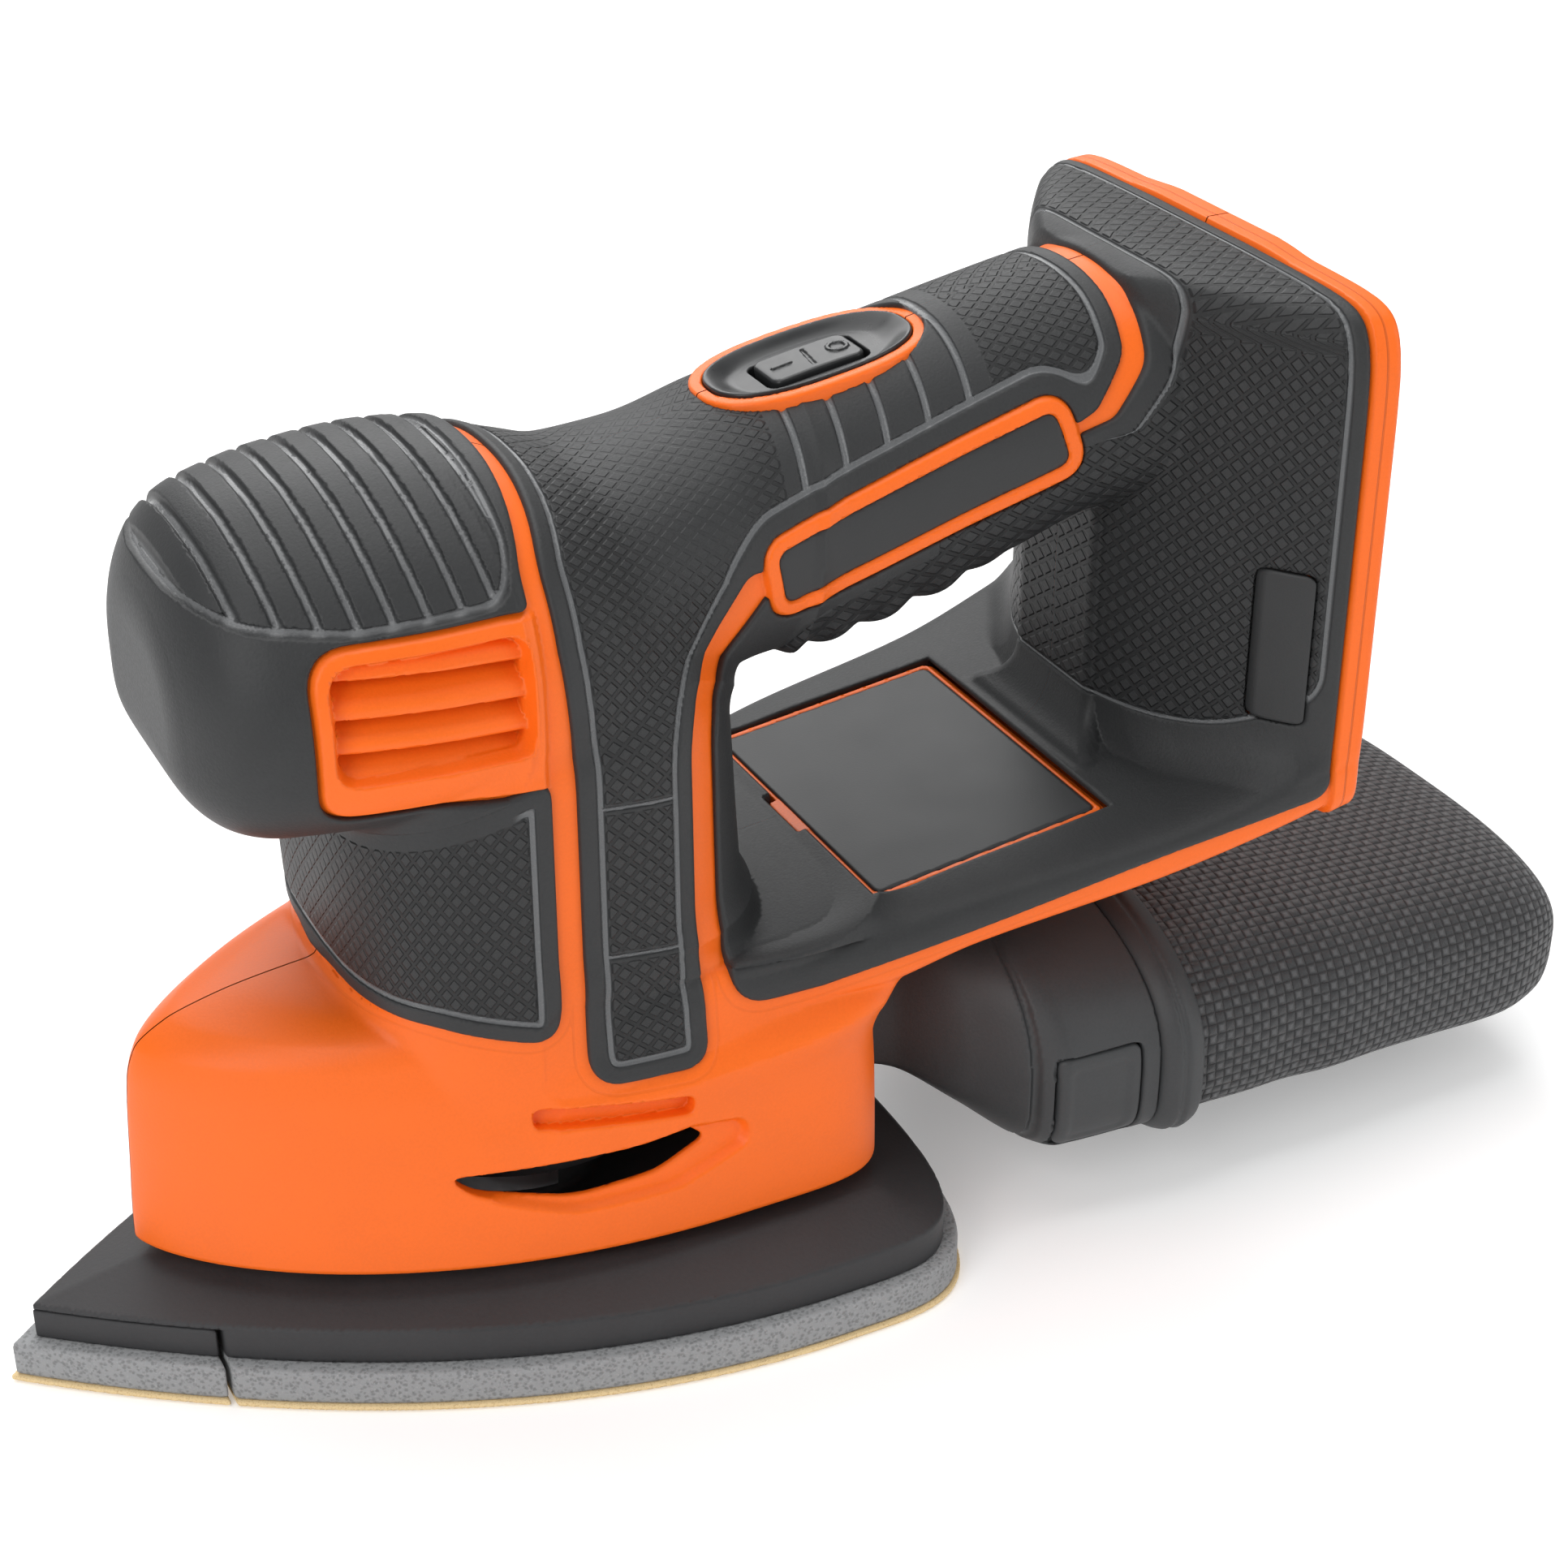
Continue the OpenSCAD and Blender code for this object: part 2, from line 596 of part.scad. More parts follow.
module platen() color(charcoal) difference() {
    union() {
        translate([0, 0, tip_top]) linear_extrude(rim_top - tip_top) polygon(base_outline(2.8));
        intersection() {
            translate([0, 0, foam_top]) linear_extrude(tip_top - foam_top) polygon(base_outline(2.8));
            behind_split(0, 20);
        }
        loft([lift(base_outline(3.4), rim_top), lift(base_outline(13.5), bevel_top)]);
        translate([orbit, 0, rim_top]) cylinder(r = bearing_r + 2.4, h = 7.2, $fn = fine);
        for (p = leg_at, s = [-1, 1]) translate([p[0] + orbit, s * p[1], rim_top]) cylinder(r = cup_r, h = 6, $fn = fine);
    }
    translate([orbit, 0, seat_z]) cylinder(r = bearing_r, h = 20, $fn = fine);
    translate([orbit, 0, 0]) cylinder(r = 8, h = 20, $fn = fine);
    for (p = leg_at, s = [-1, 1])
        translate([p[0] + orbit, s * p[1], bevel_top]) cylinder(r = cup_bore_r, h = 20, $fn = fine);
    translate([-59, 0, 5]) cylinder(r = 1.2, h = 8.6, $fn = fine);
    dust_bores();
}

module tip_holder() color(charcoal) difference() {
    intersection() {
        translate([0, 0, foam_top]) linear_extrude(tip_top - foam_top) polygon(base_outline(2.8));
        ahead_of_split(0, 20);
    }
    translate([-59, 0, 5]) cylinder(r = 1.5, h = 10, $fn = fine);
    translate([-59, 0, 5]) cylinder(r = 2.8, h = 4, $fn = fine);
}

module tip_screw() color(steel) translate([-59, 0, 9]) difference() {
    union() {
        translate([0, 0, -1.9]) cylinder(r = 2.6, h = 1.9, $fn = fine);
        cylinder(r = 1.2, h = 4.4, $fn = fine);
    }
    translate([0, 0, -2.5]) cylinder(r = 1, h = 1.6, $fn = 6);
}

module foam(z0, z1, inset) difference() {
    translate([0, 0, z0]) linear_extrude(z1 - z0) polygon(base_outline(inset));
    dust_bores();
}
module foam_pad() color([0.6, 0.6, 0.6]) intersection() {
    foam(sheet_t, foam_top, 0.5);
    behind_split(0, 20);
}
module foam_tip() color([0.6, 0.6, 0.6]) intersection() {
    foam(sheet_t, foam_top, 0.5);
    ahead_of_split(0, 20);
}
module sanding_sheet() color([0.85, 0.76, 0.55]) intersection() {
    foam(0, sheet_t, 0);
    behind_split(-1, 20);
}
module sanding_tip() color([0.85, 0.76, 0.55]) intersection() {
    foam(0, sheet_t, 0);
    ahead_of_split(-1, 20);
}

// ---------- dust box and bag ----------

spigot_half = 11.6;
spigot_z0 = outlet_z0 + 2.4;
spigot_z1 = outlet_z1 - 2.4;
funnel_x = 50.6;
collar_x = 90;
module outlet_seal() color(black) difference() {
    bar(45.5, 49.6, outlet_half, outlet_z0, outlet_z1);
    bar(40, 60, spigot_half + skin_gap, spigot_z0 - skin_gap, spigot_z1 + skin_gap);
}

module funnel_form(g) loft([for (s = [
    [funnel_x, 23.5, 44.5, 15.5], [56, 21.5, 46, 18], [64, 16, 47, 27.5], [71, 11, 47, 36.5],
    [75, 9.6, 46.5, 39], [collar_x, 9.4, 45, 40]])
    ring_yz(s[0], s[1] - g, 24, s[2] + g, s[3] + g, 4, 2.5)]);

tab_x0 = 74;
tab_x1 = 84;
tab_z0 = 14;
tab_z1 = 30;
module dust_funnel() color(charcoal) difference() {
    union() {
        one_skin() difference() {
            funnel_form(0);
            difference() {
                funnel_form(-2);
                bar(0, funnel_x + 2, 60, 0, 60);
            }
            bar(collar_x - 0.5, 100, 60, 0, 60);
            for (s = [-1, 1]) translate([tab_x0, s > 0 ? 34 : -60, tab_z0])
                cube([tab_x1 - tab_x0, 26, tab_z1 - tab_z0]);
        }
        bar(44, funnel_x + 1, spigot_half, spigot_z0, spigot_z1);
    }
    bar(40, funnel_x + 6, spigot_half - 1.8, spigot_z0 + 1.8, spigot_z1 - 1.8);
}

module release_tab(side) color(charcoal) translate([tab_x0 + 0.4, side > 0 ? 36.6 : -39.6, tab_z0 + 0.4])
    cube([tab_x1 - tab_x0 - 0.8, 3, tab_z1 - tab_z0 - 0.8]);
module release_tab_left() release_tab(-1);
module release_tab_right() release_tab(1);

module collar_form(g) loft([for (s = [
    [collar_x, 9.4, 45, 40], [92, 9.2, 45.5, 40.5], [92.6, 8.2, 46.2, 42], [97.2, 8.6, 45.6, 42]])
    ring_yz(s[0], s[1] - g, 24, s[2] + g, s[3] + g, 4, 2.4)]);

module bag_collar() color(charcoal) one_skin() difference() {
    collar_form(0);
    translate([-0.5, 0, 0]) collar_form(-3);
    bar(97, 100, 60, 0, 60);
    translate([0.5, 0, 0]) collar_form(-3);
}

module bag_form(g) loft([for (s = [
    [97.4, 10.4, 44, 40.3], [120, 10, 43, bag_half], [145, 8.6, 41, 40], [159, 7.8, 39.4, 39],
    [168, 9.5, 36.5, 36.5], [bag_end, 15, 31.5, 31]])
    ring_yz(s[0] + (s[0] > 160 ? g : 0), s[1] - g, 23, s[2] + g, s[3] + g, 4, 2.9)]);

module dust_bag() color([0.2, 0.2, 0.21]) one_skin() difference() {
    bag_form(0);
    bag_form(-2.5);
    intersection() {
        bar(90, 98.5, 60, 0, 60);
        translate([-2, 0, 0]) bag_form(-2.5);
    }
}

// ---------- wires ----------

// A round tube with 8 sides along a list of points.
function unit(v) = v / norm(v);
module wire(points, r) {
    k = 8;
    m = len(points);
    rings = [for (j = [0:m - 1])
        let (ahead = unit(points[min(j + 1, m - 1)] - points[max(j - 1, 0)]),
            across_v = unit(cross(ahead, [0, 1, 0])), up = cross(across_v, ahead))
        [for (i = [0:k - 1]) points[j] + r * (cos(360 * i / k) * up + sin(360 * i / k) * across_v)]];
    loft(rings);
}

battery_route = [[105, 0, 124.5], [100, 0, 124.5], [94, 0, 125.5], [88, 0, 126.8], [83, 0, 127.6],
    [77, 0, 125.5], [71, 0, 122], [65.5, 0, 119]];
motor_route = [[35.5, 0, 110], [33, 0, 106], [29, 0, 104.6], [24, 0, 104.6], [18, 0, 105.4], [12, 0, 105.4]];
module strands(route) for (s = [-1, 1]) wire([for (p = route) p + [0, 3 * s, 0]], 1.1);
module battery_wires() color("firebrick") strands(battery_route);
module motor_wires() color("firebrick") strands(motor_route);

housing_left();
housing_right();
grip_left();
grip_right();
front_panel_left();
front_panel_right();
foot_panel_left();
foot_panel_right();
nose_cap();
name_plate_left();
name_plate_right();
rating_plate_left();
rating_plate_right();
housing_screws();
switch_boot();
switch_rocker();
switch_module();
storage_tray();
storage_lid();
storage_lid_panel();
lid_hinge_pin();
terminal_block();
terminal_blades();
motor_can();
motor_magnets();
motor_end_bell();
motor_brushes();
upper_bush();
lower_bush();
motor_shaft();
armature();
commutator();
fan();
counterweight();
platen_bearing();
platen_screw();
rubber_legs();
platen();
tip_holder();
tip_screw();
foam_pad();
foam_tip();
sanding_sheet();
sanding_tip();
outlet_seal();
dust_funnel();
bag_collar();
release_tab_left();
release_tab_right();
dust_bag();
battery_wires();
motor_wires();
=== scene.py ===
"""A detail mouse sander: visible pieces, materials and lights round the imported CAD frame.

Shapes are written as distance fields in millimetres, negative inside, and surface_net() turns them
into meshes. The housing and its rubber panels share one body() field, so they meet exactly. A field
takes points p as rows of (x, y, z); a Zone is an outline seen from the side, or for the pad from above.
"""
import math
from concurrent.futures import ThreadPoolExecutor
from functools import partialmethod

import bpy
import numpy as np
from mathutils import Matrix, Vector


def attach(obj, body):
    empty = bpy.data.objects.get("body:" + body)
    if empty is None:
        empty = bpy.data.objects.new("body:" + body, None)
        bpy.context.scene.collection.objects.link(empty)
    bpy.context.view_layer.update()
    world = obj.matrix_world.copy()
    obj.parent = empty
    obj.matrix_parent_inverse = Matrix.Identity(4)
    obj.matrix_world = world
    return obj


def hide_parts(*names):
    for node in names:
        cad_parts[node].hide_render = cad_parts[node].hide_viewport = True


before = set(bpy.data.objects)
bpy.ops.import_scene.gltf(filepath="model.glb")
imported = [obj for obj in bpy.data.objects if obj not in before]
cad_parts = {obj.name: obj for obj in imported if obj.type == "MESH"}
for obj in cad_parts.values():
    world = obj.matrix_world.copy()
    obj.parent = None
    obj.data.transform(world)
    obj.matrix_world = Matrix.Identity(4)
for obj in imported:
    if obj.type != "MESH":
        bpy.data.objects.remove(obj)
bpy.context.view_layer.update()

MM = 0.001
SINGLE = np.float32
TINY = SINGLE(1e-9)
COARSE = 1.0
BLOCK = 4  # grid cells along one side of a sampling block


# ---------- numbers that follow curves ----------

def smooth_table(rows, samples=1600):
    """Monotone cubic curves through rows of (position, values...), as an evenly spaced table."""
    rows = np.array(rows, float)
    at, values = rows[:, 0], rows[:, 1:]
    gap = np.diff(at)[:, None]
    slope = np.diff(values, axis=0) / gap
    tangent = np.empty_like(values)
    tangent[0], tangent[-1] = slope[0], slope[-1]
    left, right = slope[:-1], slope[1:]
    same = left * right > 0
    tangent[1:-1] = np.where(same, 2 * left * right / np.where(same, left + right, 1), 0)
    t = np.linspace(at[0], at[-1], samples)
    i = np.clip(np.searchsorted(at, t) - 1, 0, len(at) - 2)
    s = ((t - at[i]) / gap[i, 0])[:, None]
    out = (2 * s**3 - 3 * s**2 + 1) * values[i] + (3 * s**2 - 2 * s**3) * values[i + 1]
    out += gap[i] * ((s**3 - 2 * s**2 + s) * tangent[i] + (s**3 - s**2) * tangent[i + 1])
    return t[0], t[-1], out.astype(SINGLE)


def look_up(table, t):
    """Every column of a table at positions t."""
    start, end, values = table
    place = (np.clip(t, start, end) - start) * ((len(values) - 1) / (end - start))
    i = np.minimum(place.astype(np.int32), len(values) - 2)
    part = (place - i)[:, None].astype(SINGLE)
    return (values[i] * (1 - part) + values[i + 1] * part).T


def step(value, width):
    """0 below -width, 1 above width, smooth between."""
    t = np.clip(value / (2 * width) + 0.5, 0, 1)
    return t * t * (3 - 2 * t)


def smooth_min(a, b, k):
    h = np.clip(0.5 + 0.5 * (b - a) / k, 0, 1)
    return b + (a - b) * h - k * h * (1 - h)


def smooth_max(a, b, k):
    return -smooth_min(-a, -b, k)


def without(f, hole, k):
    """The field f with a hole cut out of it, its edge rounded over a width k."""
    return smooth_max(f, -hole, k)


def shared(*fields):
    """The space that lies inside every field."""
    return np.maximum.reduce(fields)


def joined(*fields):
    """The space that lies inside any field."""
    return np.minimum.reduce(fields)


def disc(u, v, radius):
    return np.sqrt(u * u + v * v) - radius


def slab(value, low, high):
    """Distance from the layer between low and high."""
    return np.maximum(low - value, value - high)


def rect(u, v, half_u, half_v, radius):
    """Distance from a rectangle about 0 with rounded corners."""
    qu, qv = np.abs(u) - half_u + radius, np.abs(v) - half_v + radius
    out = np.sqrt(np.maximum(qu, 0) ** 2 + np.maximum(qv, 0) ** 2)
    return out + np.minimum(np.maximum(qu, qv), 0) - radius


# ---------- distance fields ----------

def slopes(field, p, value, eps):
    """How fast a field grows along each axis, from small steps."""
    out = []
    for axis in range(3):
        q = p.copy()
        q[:, axis] += eps
        out.append((field(q) - value) / eps)
    return out


def normalised(rho, p, span=None, steepest=1.5):
    """Turns a field that is 1 on a surface into a distance and its unit normal, as four rows.

    span is a loft's length along X: past it, the slopes are those of its end, and at blunt ends
    the slope along X counts for no more than steepest allows.
    """
    if span:
        p = p.copy()
        p[:, 0] = np.clip(p[:, 0], span[0], span[1])
    value = rho(p)
    slope = slopes(rho, p, value, SINGLE(0.05))
    size = np.sqrt(sum(s * s for s in slope)) + SINGLE(1e-6)
    if span:
        size = np.minimum(size, steepest * np.hypot(slope[1], slope[2]) + SINGLE(1e-6))
    return np.stack([(value - 1) / size] + [s / size for s in slope])


def mixed(a, b, k, sign):
    """Two normalised fields made one over a width k: sign -1 joins them, 1 keeps what they share."""
    h = np.clip(0.5 + 0.5 * sign * (a[0] - b[0]) / k, 0, 1)
    out = b * (1 - h) + a * h
    out[0] += sign * k * h * (1 - h)
    return out


def blended(a, b, k):
    """Smooth union of two normalised fields; the blend shrinks where their surfaces run alike."""
    return mixed(a, b, k * np.clip(1 - (a[1:] * b[1:]).sum(0), 0.15, 1), -1)


def cut_off(a, plane, normal, k):
    """Smooth intersection of a normalised field with a half space."""
    b = np.empty_like(a)
    b[0] = plane
    b[1:] = np.array(normal, SINGLE)[:, None]
    return mixed(a, b, k, 1)


def capped(a, table, p, axis, ends):
    """A normalised field cut off where its table starts and ends along an axis.

    ends are the rounding of the two ends; None leaves the far end open.
    """
    outward = np.eye(3)[axis]
    out = cut_off(a, table[0] - p[:, axis], -outward, ends[0])
    if ends[1] is None:
        return out
    return cut_off(out, p[:, axis] - table[1], outward, ends[1])


class Loft:
    """Superellipse rings across X: rows of (x, z low, z high, half width)."""

    def __init__(self, rows, n_low, n_top, widest=None, ends=(1.0, 1.0)):
        self.table = smooth_table(rows)
        self.n_low, self.n_top, self.widest, self.ends = n_low, n_top, widest, ends

    def rho(self, p):
        low, high, half = look_up(self.table, p[:, 0])
        middle = (low + high) / 2 if self.widest is None else SINGLE(self.widest)
        above = p[:, 2] > middle
        b = np.where(above, (p[:, 2] - middle) / (high - middle), (middle - p[:, 2]) / (middle - low))
        n = np.where(above, SINGLE(self.n_top), SINGLE(self.n_low))
        a = np.abs(p[:, 1]) / half
        return (a**n + b**n + TINY) ** (1 / n)

    def __call__(self, p):
        out = normalised(self.rho, p, span=(self.table[0], self.table[1] - 0.1))
        return capped(out, self.table, p, 0, self.ends)


skirt_table = smooth_table([
    [17, -55.5, 46, 32.5], [19, -58, 48.5, 35], [32, -57.3, 48.5, 34.5], [45, -56.3, 48.5, 32.5],
    [50, -54.8, 48.5, 31.4], [53.5, -50, 47.5, 31], [55.8, -42, 46.5, 30.4], [58.2, -29, 44, 29.6]])
neck_table = smooth_table([[40, -26, 31], [58, -26.8, 31], [80, -27.4, 30], [106, -27, 28.6]])
NECK_HALF, NECK_POWER = SINGLE(29.6), 3.2
BELLY_BACK = 27  # from the widest place of the iron shape to its back
TIP_POWER = 0.7
SHOULDER = 0.36


def skirt_rho(p):
    """The flat-iron skirt: a bowed side to the tip and a square-shouldered back."""
    tip, back, half = look_up(skirt_table, p[:, 2])
    belly = back - BELLY_BACK
    a = np.abs(p[:, 1]) / half + SINGLE(1e-6)
    ahead = np.maximum(belly - p[:, 0], 0) / (belly - tip)
    behind = np.maximum(p[:, 0] - belly, 0) / BELLY_BACK
    power = 2 / SHOULDER
    front = np.sqrt(a ** (1 / TIP_POWER) + ahead * ahead)
    rear = (a**power + behind**power) ** (0.5 / TIP_POWER / power)
    return np.where(p[:, 0] < belly, front, rear)


def skirt(p):
    return capped(normalised(skirt_rho, p), skirt_table, p, 2, (1.2, 3))


def neck_rho(p):
    front, back = look_up(neck_table, p[:, 2])
    a = np.abs(p[:, 0] - (front + back) / 2) / ((back - front) / 2)
    return (a**NECK_POWER + (np.abs(p[:, 1]) / NECK_HALF) ** NECK_POWER + TINY) ** (1 / NECK_POWER)


def neck(p):
    return capped(normalised(neck_rho, p), neck_table, p, 2, (2, 16))


BODY_END = 118.5
head = Loft([
    [-47, 89.4, 124.4, 22.4], [-42, 88.7, 127, 24.8], [-35, 88.2, 129.2, 27],
    [-26, 88, 131, 29], [-14, 88, 131.8, 30], [-3, 88, 130.6, 30], [6, 88, 127.2, 28.6],
    [15, 90, 125, 25], [26, 95, 126, 19], [36, 99, 126, 12]], 3.2, 2.2, widest=104, ends=(12, 1))
handle = Loft([
    [2, 90, 122.5, 25], [14, 88, 124.8, 24], [26, 92, 127, 20.5], [36, 94, 130.2, 19],
    [48, 94.5, 133, 18.4], [62, 97.5, 135.6, 18.4], [76, 101.5, 138, 19], [88, 105.5, 139.8, 19.6],
    [98, 107, 141, 21]], 2.5, 2.2)
arm = Loft([
    [2, 45, 57, 22], [12, 45, 58, 25.4], [20, 45.2, 58.2, 28], [30, 45.5, 58.5, 30.6], [44, 47, 59.8, 33],
    [60, 51.5, 62, 35], [88, 56, 65.4, 38], [105, 60, 70, 40.2], [BODY_END, 63.6, 76, 41.8]], 5, 4,
    ends=(1, None))
foot = Loft([
    [93.2, 64, 138, 10], [95.2, 63, 140, 15], [99, 62, 142, 21.5], [104, 62, 142.6, 29],
    [110, 62.5, 142.6, 37], [114.5, 63.2, 142.6, 41], [BODY_END, 63.6, 142.6, 42]],
    10, 10, widest=100, ends=(2, None))


def roofed_foot(p):
    """The battery foot, its top falling gently away on both sides of a level middle."""
    top, level_half, fall = 142.4, 12, 0.03
    above = p[:, 2] - top + fall * np.maximum(np.abs(p[:, 1]) - level_half, 0)
    return cut_off(foot(p), above, (0, 0, 1), 3)


def body(p):
    """Distance to the housing's plain outer form."""
    out = blended(skirt(p), neck(p), 3)
    out = blended(out, head(p), 3)
    out = blended(out, handle(p), 10)
    fillet = 1.5 + 10 * step(110 - p[:, 0], 5) * step(p[:, 2] - 66, 2)
    rear = blended(arm(p), roofed_foot(p), fillet)
    out = blended(out, rear, 2.5 + 8.5 * step(92 - p[:, 2], 10))
    return cut_off(out, p[:, 0] - BODY_END, (1, 0, 0), 0.8)[0]


class Zone:
    """A closed outline with rounded corners, as a signed distance looked up in a fine grid."""

    def __init__(self, corners, pitch=0.3, reach=14):
        outline = rounded(corners)
        low = np.maximum(outline.min(0), -90) - reach
        high = np.minimum(outline.max(0), 190) + reach
        self.low, self.pitch = low, pitch
        size = np.ceil((high - low) / pitch).astype(int) + 2
        u, v = np.meshgrid(low[0] + pitch * np.arange(size[0]), low[1] + pitch * np.arange(size[1]),
                           indexing="ij")
        self.values = outline_distance(outline, u.ravel(), v.ravel()).reshape(size).astype(SINGLE)

    def __call__(self, u, v):
        s = np.clip((u - self.low[0]) / self.pitch, 0, self.values.shape[0] - 1.001)
        t = np.clip((v - self.low[1]) / self.pitch, 0, self.values.shape[1] - 1.001)
        i, j = s.astype(np.int32), t.astype(np.int32)
        s, t = s - i, t - j
        f = self.values
        low = f[i, j] * (1 - s) + f[i + 1, j] * s
        high = f[i, j + 1] * (1 - s) + f[i + 1, j + 1] * s
        return (low * (1 - t) + high * t).astype(SINGLE)

    def side(self, p):
        return self(p[:, 0], p[:, 2])


def rounded(corners):
    """Points along a polygon of (u, v, radius) corners."""
    corners = [tuple(c) + (0,) * (3 - len(c)) for c in corners]
    points = []
    for i, (u, v, radius) in enumerate(corners):
        here = np.array([u, v], float)
        before = np.array(corners[i - 1][:2], float) - here
        after = np.array(corners[(i + 1) % len(corners)][:2], float) - here
        reach = min(np.linalg.norm(before), np.linalg.norm(after)) * 0.49
        before, after = before / np.linalg.norm(before), after / np.linalg.norm(after)
        half_angle = math.acos(np.clip(before @ after, -1, 1)) / 2
        back = min(radius / math.tan(half_angle), reach) if radius else 0
        if back < 1e-6:
            points.append(here)
            continue
        for t in np.linspace(0, 1, 9):
            a, b = here + before * back, here + after * back
            points.append((1 - t) ** 2 * a + 2 * t * (1 - t) * here + t * t * b)
    return np.array(points)


def outline_distance(outline, u, v):
    """Signed distance from points to a closed outline, negative inside."""
    best = np.full(len(u), 1e9)
    inside = np.zeros(len(u), bool)
    for a, b in zip(outline, np.roll(outline, -1, 0)):
        d = b - a
        length2 = d @ d
        if length2 < 1e-12:
            continue
        t = np.clip(((u - a[0]) * d[0] + (v - a[1]) * d[1]) / length2, 0, 1)
        best = np.minimum(best, (u - a[0] - t * d[0]) ** 2 + (v - a[1] - t * d[1]) ** 2)
        if a[1] != b[1]:
            crosses = (a[1] > v) != (b[1] > v)
            inside ^= crosses & (u < a[0] + (v - a[1]) * d[0] / d[1])
    return np.where(inside, -1, 1) * np.sqrt(best)


# ---------- outlines seen from the side, in X and Z ----------

UP = 175
grip_zone = Zone([(0.4, 44.8, 5), (18.0, 44.8, 4.5), (18.0, 97, 18), (31.0, 112.2, 3), (38, 110.6),
                  (79, 122.4), (85.2, 125.4, 4), (90.4, 132.5, 6), (91.3, 139), (91.3, UP), (2.4, UP),
                  (2.0, 131, 10), (-1.3, 122, 12), (-1.2, 112, 12), (0.3, 95, 20)])
front_zone = Zone([(-60, 60.5), (-34, 59.8, 8), (-20, 58.2, 14), (-3, 52.6, 4.5), (-3, 94.6, 2.6),
                   (-31, 87.6, 10), (-60, 86.6)])
foot_zone = Zone([(22, 51.4, 7), (36, 52, 12), (60, 56.5, 40), (115, 67.4, 4), (115, UP), (94.2, UP),
                  (94.2, 138.5), (93.2, 131, 6), (88, 124, 3), (79, 121.6), (38, 110.2),
                  (33.6, 108.4, 2), (22, 95, 13)])
nose_zone = Zone([(-70, 84.5), (-31, 85.4, 10), (-3.3, 93.4, 1.2), (-4.1, 112, 12), (-3.8, 122, 10),
                  (-0.8, 131.5, 10), (-0.4, UP), (-70, UP)])
ribbed_zone = Zone([(-70, 123.5), (-46, 122.4, 8), (-38.8, 120.2, 12), (-26, 118.9, 20),
                    (-7.2, 119.4, 5), (-4.9, 125, 6), (-3.4, UP), (-70, UP)])
louvre_zone = Zone([(-33.5, 94.2, 5), (0.4, 92.6), (0.4, 117.8), (-33.5, 117.6, 6)])
window_zone = Zone([(-31, 99.6, 3), (-5.4, 98.9, 2.6), (-5.2, 115.2, 3), (-31, 115.2, 4)])
plate_corners = [(36.6, 105.6, 2.2), (81.6, 118.5, 2.2), (78.6, 126.9, 2.4), (34.8, 114.2, 2.2)]
plate_zone = Zone(plate_corners)
vent_zone = Zone([(-20, 33.8, 1), (-16.6, 30.4, 8), (-2.6, 27.4, 16), (9.4, 28.8, 12), (17, 32.6, 1.5),
                  (14.4, 34.8, 1)])
vent_lip_zone = Zone([(-18, 30.6, 8), (-3, 26, 16), (12, 26.6, 9), (23, 31, 3), (22.4, 34.6, 2.4),
                      (14.4, 35.4, 1)])
blind_zone = Zone([(-7.9, 39.9, 1.4), (14.8, 37.8, 1.4), (14.8, 40.8, 1.4), (-7.9, 42.9, 1.4)])
badge_zone = Zone([(105.6, 78.6, 1.4), (111.0, 78.6, 1.4), (111.0, 102.6, 1.4), (105.6, 102.6, 1.4)])
foot_knurl_zone = Zone([(60, 75.6), (89, 75.6, 8), (101, 74.4, 14), (112.6, 83, 9), (112.6, UP),
                        (60, UP)])
under_knurl_zone = Zone([(36, 90), (86, 100), (83, 115.8, 3), (39, 102.6, 4)])

# ---------- frames of the switch and the lid ----------

SWITCH_AT, SWITCH_SLOPE = (50, 132.6), -9
HINGE_AT, LID_SLOPE = (88, 65.2), -7


def into(p, origin, slope, flip=1):
    """Points in a frame at origin in X and Z, turned about Y by slope degrees."""
    c, s = math.cos(math.radians(slope)), math.sin(math.radians(slope))
    x, z = p[:, 0] - origin[0], p[:, 2] - origin[1]
    return (x * c - z * s) * flip, p[:, 1], x * s + z * c


def switch_frame(p):
    return into(p, SWITCH_AT, SWITCH_SLOPE)


def lid_frame(p):
    """x runs from the hinge towards the tip, z up from the lid's face."""
    return into(p, HINGE_AT, LID_SLOPE, flip=-1)


def oval_rho(x, y, a, b):
    """1 on an oval of power 2.5 with half axes a and b."""
    return ((np.abs(x) / a) ** 2.5 + (np.abs(y) / b) ** 2.5 + 1e-9) ** 0.4


def oval(x, y, a, b):
    """Distance from that oval."""
    rho = oval_rho(x, y, a, b)
    gx = (np.abs(x) / a) ** 1.5 / a
    gy = (np.abs(y) / b) ** 1.5 / b
    slope = np.sqrt(gx * gx + gy * gy) / np.maximum(rho, 0.05) ** 1.5
    return (rho - 1) / np.maximum(slope, 1 / a)


# ---------- housing ----------

BOOT_A, BOOT_B, BEZEL = 15.5, 8.6, 1.9  # half axes of the switch's boot, and its ring's width
RIM, RIM_START = 0.9, 115.3  # the battery end's rim: how proud, and from which x
BARREL, LID_SWING = 4, 4.6  # radius of the lid's barrel, and of the room round it
LID_HALF, LID_LEN, LID_T, LID_REAR = 26.5, 41, 2, 2.2
LID_ROOM = LID_HALF + 0.4
SEAM, HAIR = 0.12, 0.01  # half gaps at the middle: of the housing, of the rubber
FRAME = 2.2  # width of the name plate's frame
LINING = 1.8  # rubber round the storage hole
PROUD = 0.95  # rubber above the body
BORDER = 3.2  # from a panel's edge to its border line
BAR_LEVELS, BAR_LEAN = (88.6, 65.6), 0.12  # the two bars across the grip's column
BARS, BAR_PITCH = (37.2, 69.3), 6.4  # the bars across the handle: first and last x
BARS_LEAN, BARS_LEVEL = 0.06, 121
